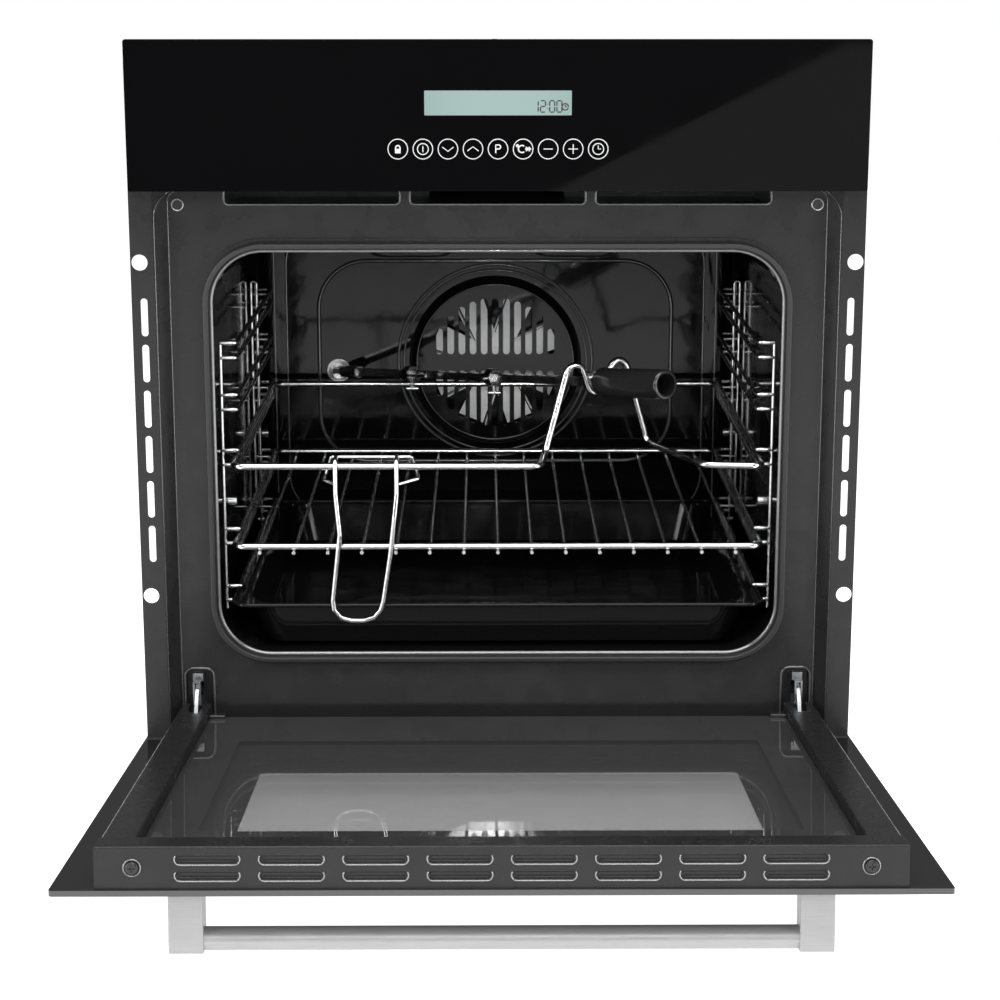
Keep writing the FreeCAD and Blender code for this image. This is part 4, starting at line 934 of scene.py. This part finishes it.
def louvre_lips(lip_highlight_finish):
    """Bright rolled lip along the near edge of each dish, turned up at both ends, coloured light as a painted
    highlight on the lit edge.
    """
    lines = []
    lip = arc(17.8, 0, 3.7, 40, -90, 8) + arc(-17.8, 0, 3.7, 270, 140, 8)
    for k in range(LOUVRES):
        for row in (-0.5, 0.5):
            x = (k - (LOUVRES - 1) / 2) * LOUVRE_PITCH
            y = RAIL_MIDDLE + row * LOUVRE_ROW_GAP
            path = [(x + px * MM, y + py * MM, RAIL_TOP + 0.1 * MM) for px, py in lip]
            lines.append((path, 0.55 * MM, False))
    add_piece("louvre_lips", swept(lines, lip_highlight_finish, 8), lip_highlight_finish, "door", DOOR_TURN)


def rail_screw_cups(enamel):
    """Pressed cups round the two screws of the top rail, as bright rims that paint their highlight."""
    lines = []
    for x in (-242.5 * MM, 242.5 * MM):
        circle = [
            (px, RAIL_MIDDLE + py, RAIL_TOP + 0.1 * MM)
            for px, py in arc(x, 0, 5.6 * MM, 0, 360, 28)[:-1]
        ]
        lines.append((circle, 0.55 * MM, True))
    add_piece("rail_screw_rims", swept(lines, enamel, 8), enamel, "door", DOOR_TURN)


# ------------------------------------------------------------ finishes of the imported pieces


def paint(made):
    """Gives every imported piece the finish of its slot."""
    by_slot = {}
    for part in frame["record"]["subparts"]:
        by_slot[part["node"]] = part["material_slot"]
    for node, piece in frame["nodes"].items():
        chosen = made["pane"] if node == "door_inner_glass" else made[by_slot[node]]
        if node == "door_outer_glass":
            chosen = made["door_face"]
        piece.data.materials.clear()
        piece.data.materials.append(chosen)


def all_finishes():
    steel = (0.42, 0.42, 0.43)
    return {
        "black_glass": black_panel_glass(),
        "clear_glass": lamp_glass(),
        "pane": door_glass("printed inner pane", *PANE_FIELD, 0.30, 0.030),
        "door_face": door_glass("printed outer glass", *FACE_FIELD, 0.34, 0.008),
        "dark_enamel": satin_enamel(),
        "black_enamel": gloss_enamel(),
        # Both edge finishes are lighter than the enamel they sit on: painted highlight lines along edges.
        "edges": edge_highlight_enamel("rolled enamel edge with painted highlight", 0.06),
        "painted_highlight_edges": edge_highlight_enamel("pressed edge with bright painted highlight", 0.16),
        "seal_rubber": seal_rubber(),
        "mineral_wool": wool(),
        "zinc_sheet": zinc(),
        "black_plastic": black_plastic("black moulded plastic", 0.16),
        "display": display_glow(),
        "digits": print_ink("display digits", 0.004, 0.012, 0.0),
        # The signs' print glows: painted light.
        "signs": print_ink("printed signs with painted glow", 0.34, 0.46, 0.38),
        "circuit_board": circuit_board(),
        "chromed_wire": chrome(),
        "brushed_handle": brushed_steel(),
        "dark_screws": metal("dark screws", (0.03, 0.03, 0.03), (0.07, 0.07, 0.07), 0.3),
        "fan_alloy": metal("fan alloy", (0.84, 0.84, 0.84), (0.97, 0.97, 0.97), 0.5, 0.1),
        "motor_steel": metal("zinc-plated steel", steel, (0.7, 0.7, 0.68), 0.3),
        "rotor_plastic": black_plastic("rotor plastic", 0.5),
        "element_sheath": metal("heating tube", (0.014, 0.014, 0.013), (0.03, 0.028, 0.026), 0.45, 0.9),
        "lamp_glass": lamp_glass(),
        "probe_steel": metal("probe steel", (0.5, 0.49, 0.47), (0.75, 0.74, 0.72), 0.24),
    }


# ------------------------------------------------------------ studio


def aimed(name, place, target, width, height, power):
    light = bpy.data.lights.new(name, "AREA")
    light.shape = "RECTANGLE"
    light.size = width
    light.size_y = height
    light.energy = power
    lamp = bpy.data.objects.new(name, light)
    lamp.location = place
    lamp.rotation_euler = (Vector(target) - Vector(place)).to_track_quat("-Z", "Y").to_euler()
    bpy.context.scene.collection.objects.link(lamp)
    return lamp


def studio():
    f = Finish("pale floor with painted shadow")
    x, y, z = f.axes()
    # Painted shadow: the floor's glow drops to dark grey under the oven and the open door, fading out along the
    # door's length.
    clear_of_painted_shadow = abs(x).span(0.25, 0.32).most(y.span(-0.44, -0.22, 1.0, 0.0))
    glow = f.blend(clear_of_painted_shadow, grey(0.22), grey(1.0))
    floor_material = f.done(
        f.surface(Base_Color=grey(0.75), Roughness=0.9, Emission_Color=glow, Emission_Strength=1.0)
    )
    mesh = bpy.data.meshes.new("floor")
    mesh.from_pydata([(-6, -3.5, 0), (6, -3.5, 0), (6, 6, 0), (-6, 6, 0)], [], [(0, 1, 2, 3)])
    mesh.materials.append(floor_material)
    floor = bpy.data.objects.new("floor", mesh)
    bpy.context.scene.collection.objects.link(floor)

    world = bpy.data.worlds.new("studio")
    bpy.context.scene.world = world
    world.use_nodes = True
    tree = world.node_tree
    tree.nodes.clear()
    path = add_node(tree, "ShaderNodeLightPath")
    seen = add_node(tree, "ShaderNodeBackground", None, {"Color": grey(1.0), "Strength": 1.0})
    lit = add_node(tree, "ShaderNodeBackground", None, {"Color": grey(0.5), "Strength": 0.22})
    both = add_node(tree, "ShaderNodeMixShader")
    terms = (path.outputs["Is Camera Ray"], lit.outputs[0], seen.outputs[0])
    for slot, term in zip(both.inputs, terms):
        tree.links.new(term, slot)
    output = add_node(tree, "ShaderNodeOutputWorld")
    tree.links.new(both.outputs[0], output.inputs["Surface"])

    aimed("top softbox", (0.0, -1.3, 2.3), (0.0, -0.2, 0.25), 2.4, 1.2, 60)
    aimed("left strip", (-1.7, -1.3, 0.75), (0.0, 0.0, 0.3), 0.45, 1.5, 26)
    aimed("right strip", (1.7, -1.3, 0.75), (0.0, 0.0, 0.3), 0.45, 1.5, 26)
    aimed("front fill", (0.0, -3.0, 1.35), (0.0, 0.2, 0.25), 1.5, 0.5, 24)
    fan_spot()
    room_card()


def fan_spot():
    """A narrow beam through the mouth on to the fan."""
    light = bpy.data.lights.new("fan spot", "SPOT")
    light.energy = 90
    light.spot_size = math.radians(3.6)
    light.spot_blend = 0.5
    light.shadow_soft_size = 0.08
    spot = bpy.data.objects.new("fan spot", light)
    spot.location = (0.0, -3.2, 0.75)
    toward = Vector((0.0, BACK_WALL, FAN_Z)) - spot.location
    spot.rotation_euler = toward.to_track_quat("-Z", "Y").to_euler()
    bpy.context.scene.collection.objects.link(spot)


def room_card():
    """A dim sloping-edged card in front, seen only as a reflection in the panel glass."""
    f = Finish("room beyond")
    colour = f.blend(f.noise(2.0), grey(0.44), grey(0.52))
    glow = f.surface(Base_Color=grey(0.0), Emission_Color=colour, Emission_Strength=1.0)
    y = -3.1
    outline = [(0.134, 0.215), (0.713, 0.505), (0.9, 0.5), (0.9, 0.1), (-0.1, 0.1)]
    mesh = bpy.data.meshes.new("room beyond")
    mesh.from_pydata(standing(outline, y), [], [tuple(range(len(outline)))])
    mesh.materials.append(f.done(glow))
    card = bpy.data.objects.new("room beyond", mesh)
    card.visible_camera = False
    card.visible_diffuse = False
    bpy.context.scene.collection.objects.link(card)


def camera():
    data = bpy.data.cameras.new("camera")
    data.sensor_width = 36.0
    data.lens = 82.1
    data.clip_start = 0.05
    data.clip_end = 100
    viewer = bpy.data.objects.new("camera", data)
    viewer.location = (-0.0115, -2.1055, 0.648)
    viewer.rotation_euler = (math.radians(90 - 13.1), 0, -0.0072)
    bpy.context.scene.collection.objects.link(viewer)
    bpy.context.scene.camera = viewer


def main():
    bpy.context.scene.view_settings.view_transform = "Standard"
    made = all_finishes()
    paint(made)
    camera()
    studio()
    display(made)
    touch_fields(made)
    front_beads(made["edges"])
    mouth_beads(made["edges"], made["painted_highlight_edges"])
    rear_wall_press(made["edges"], made["painted_highlight_edges"])
    spit_socket_rim(made["probe_steel"])
    plate_screw_rims(made["motor_steel"])
    roof_hooks(made["probe_steel"])
    case_screws(made["motor_steel"])
    case_ribs(made["zinc_sheet"])
    rail_louvres(made["dark_enamel"])
    louvre_lips(made["painted_highlight_edges"])
    rail_screw_cups(made["painted_highlight_edges"])


main()
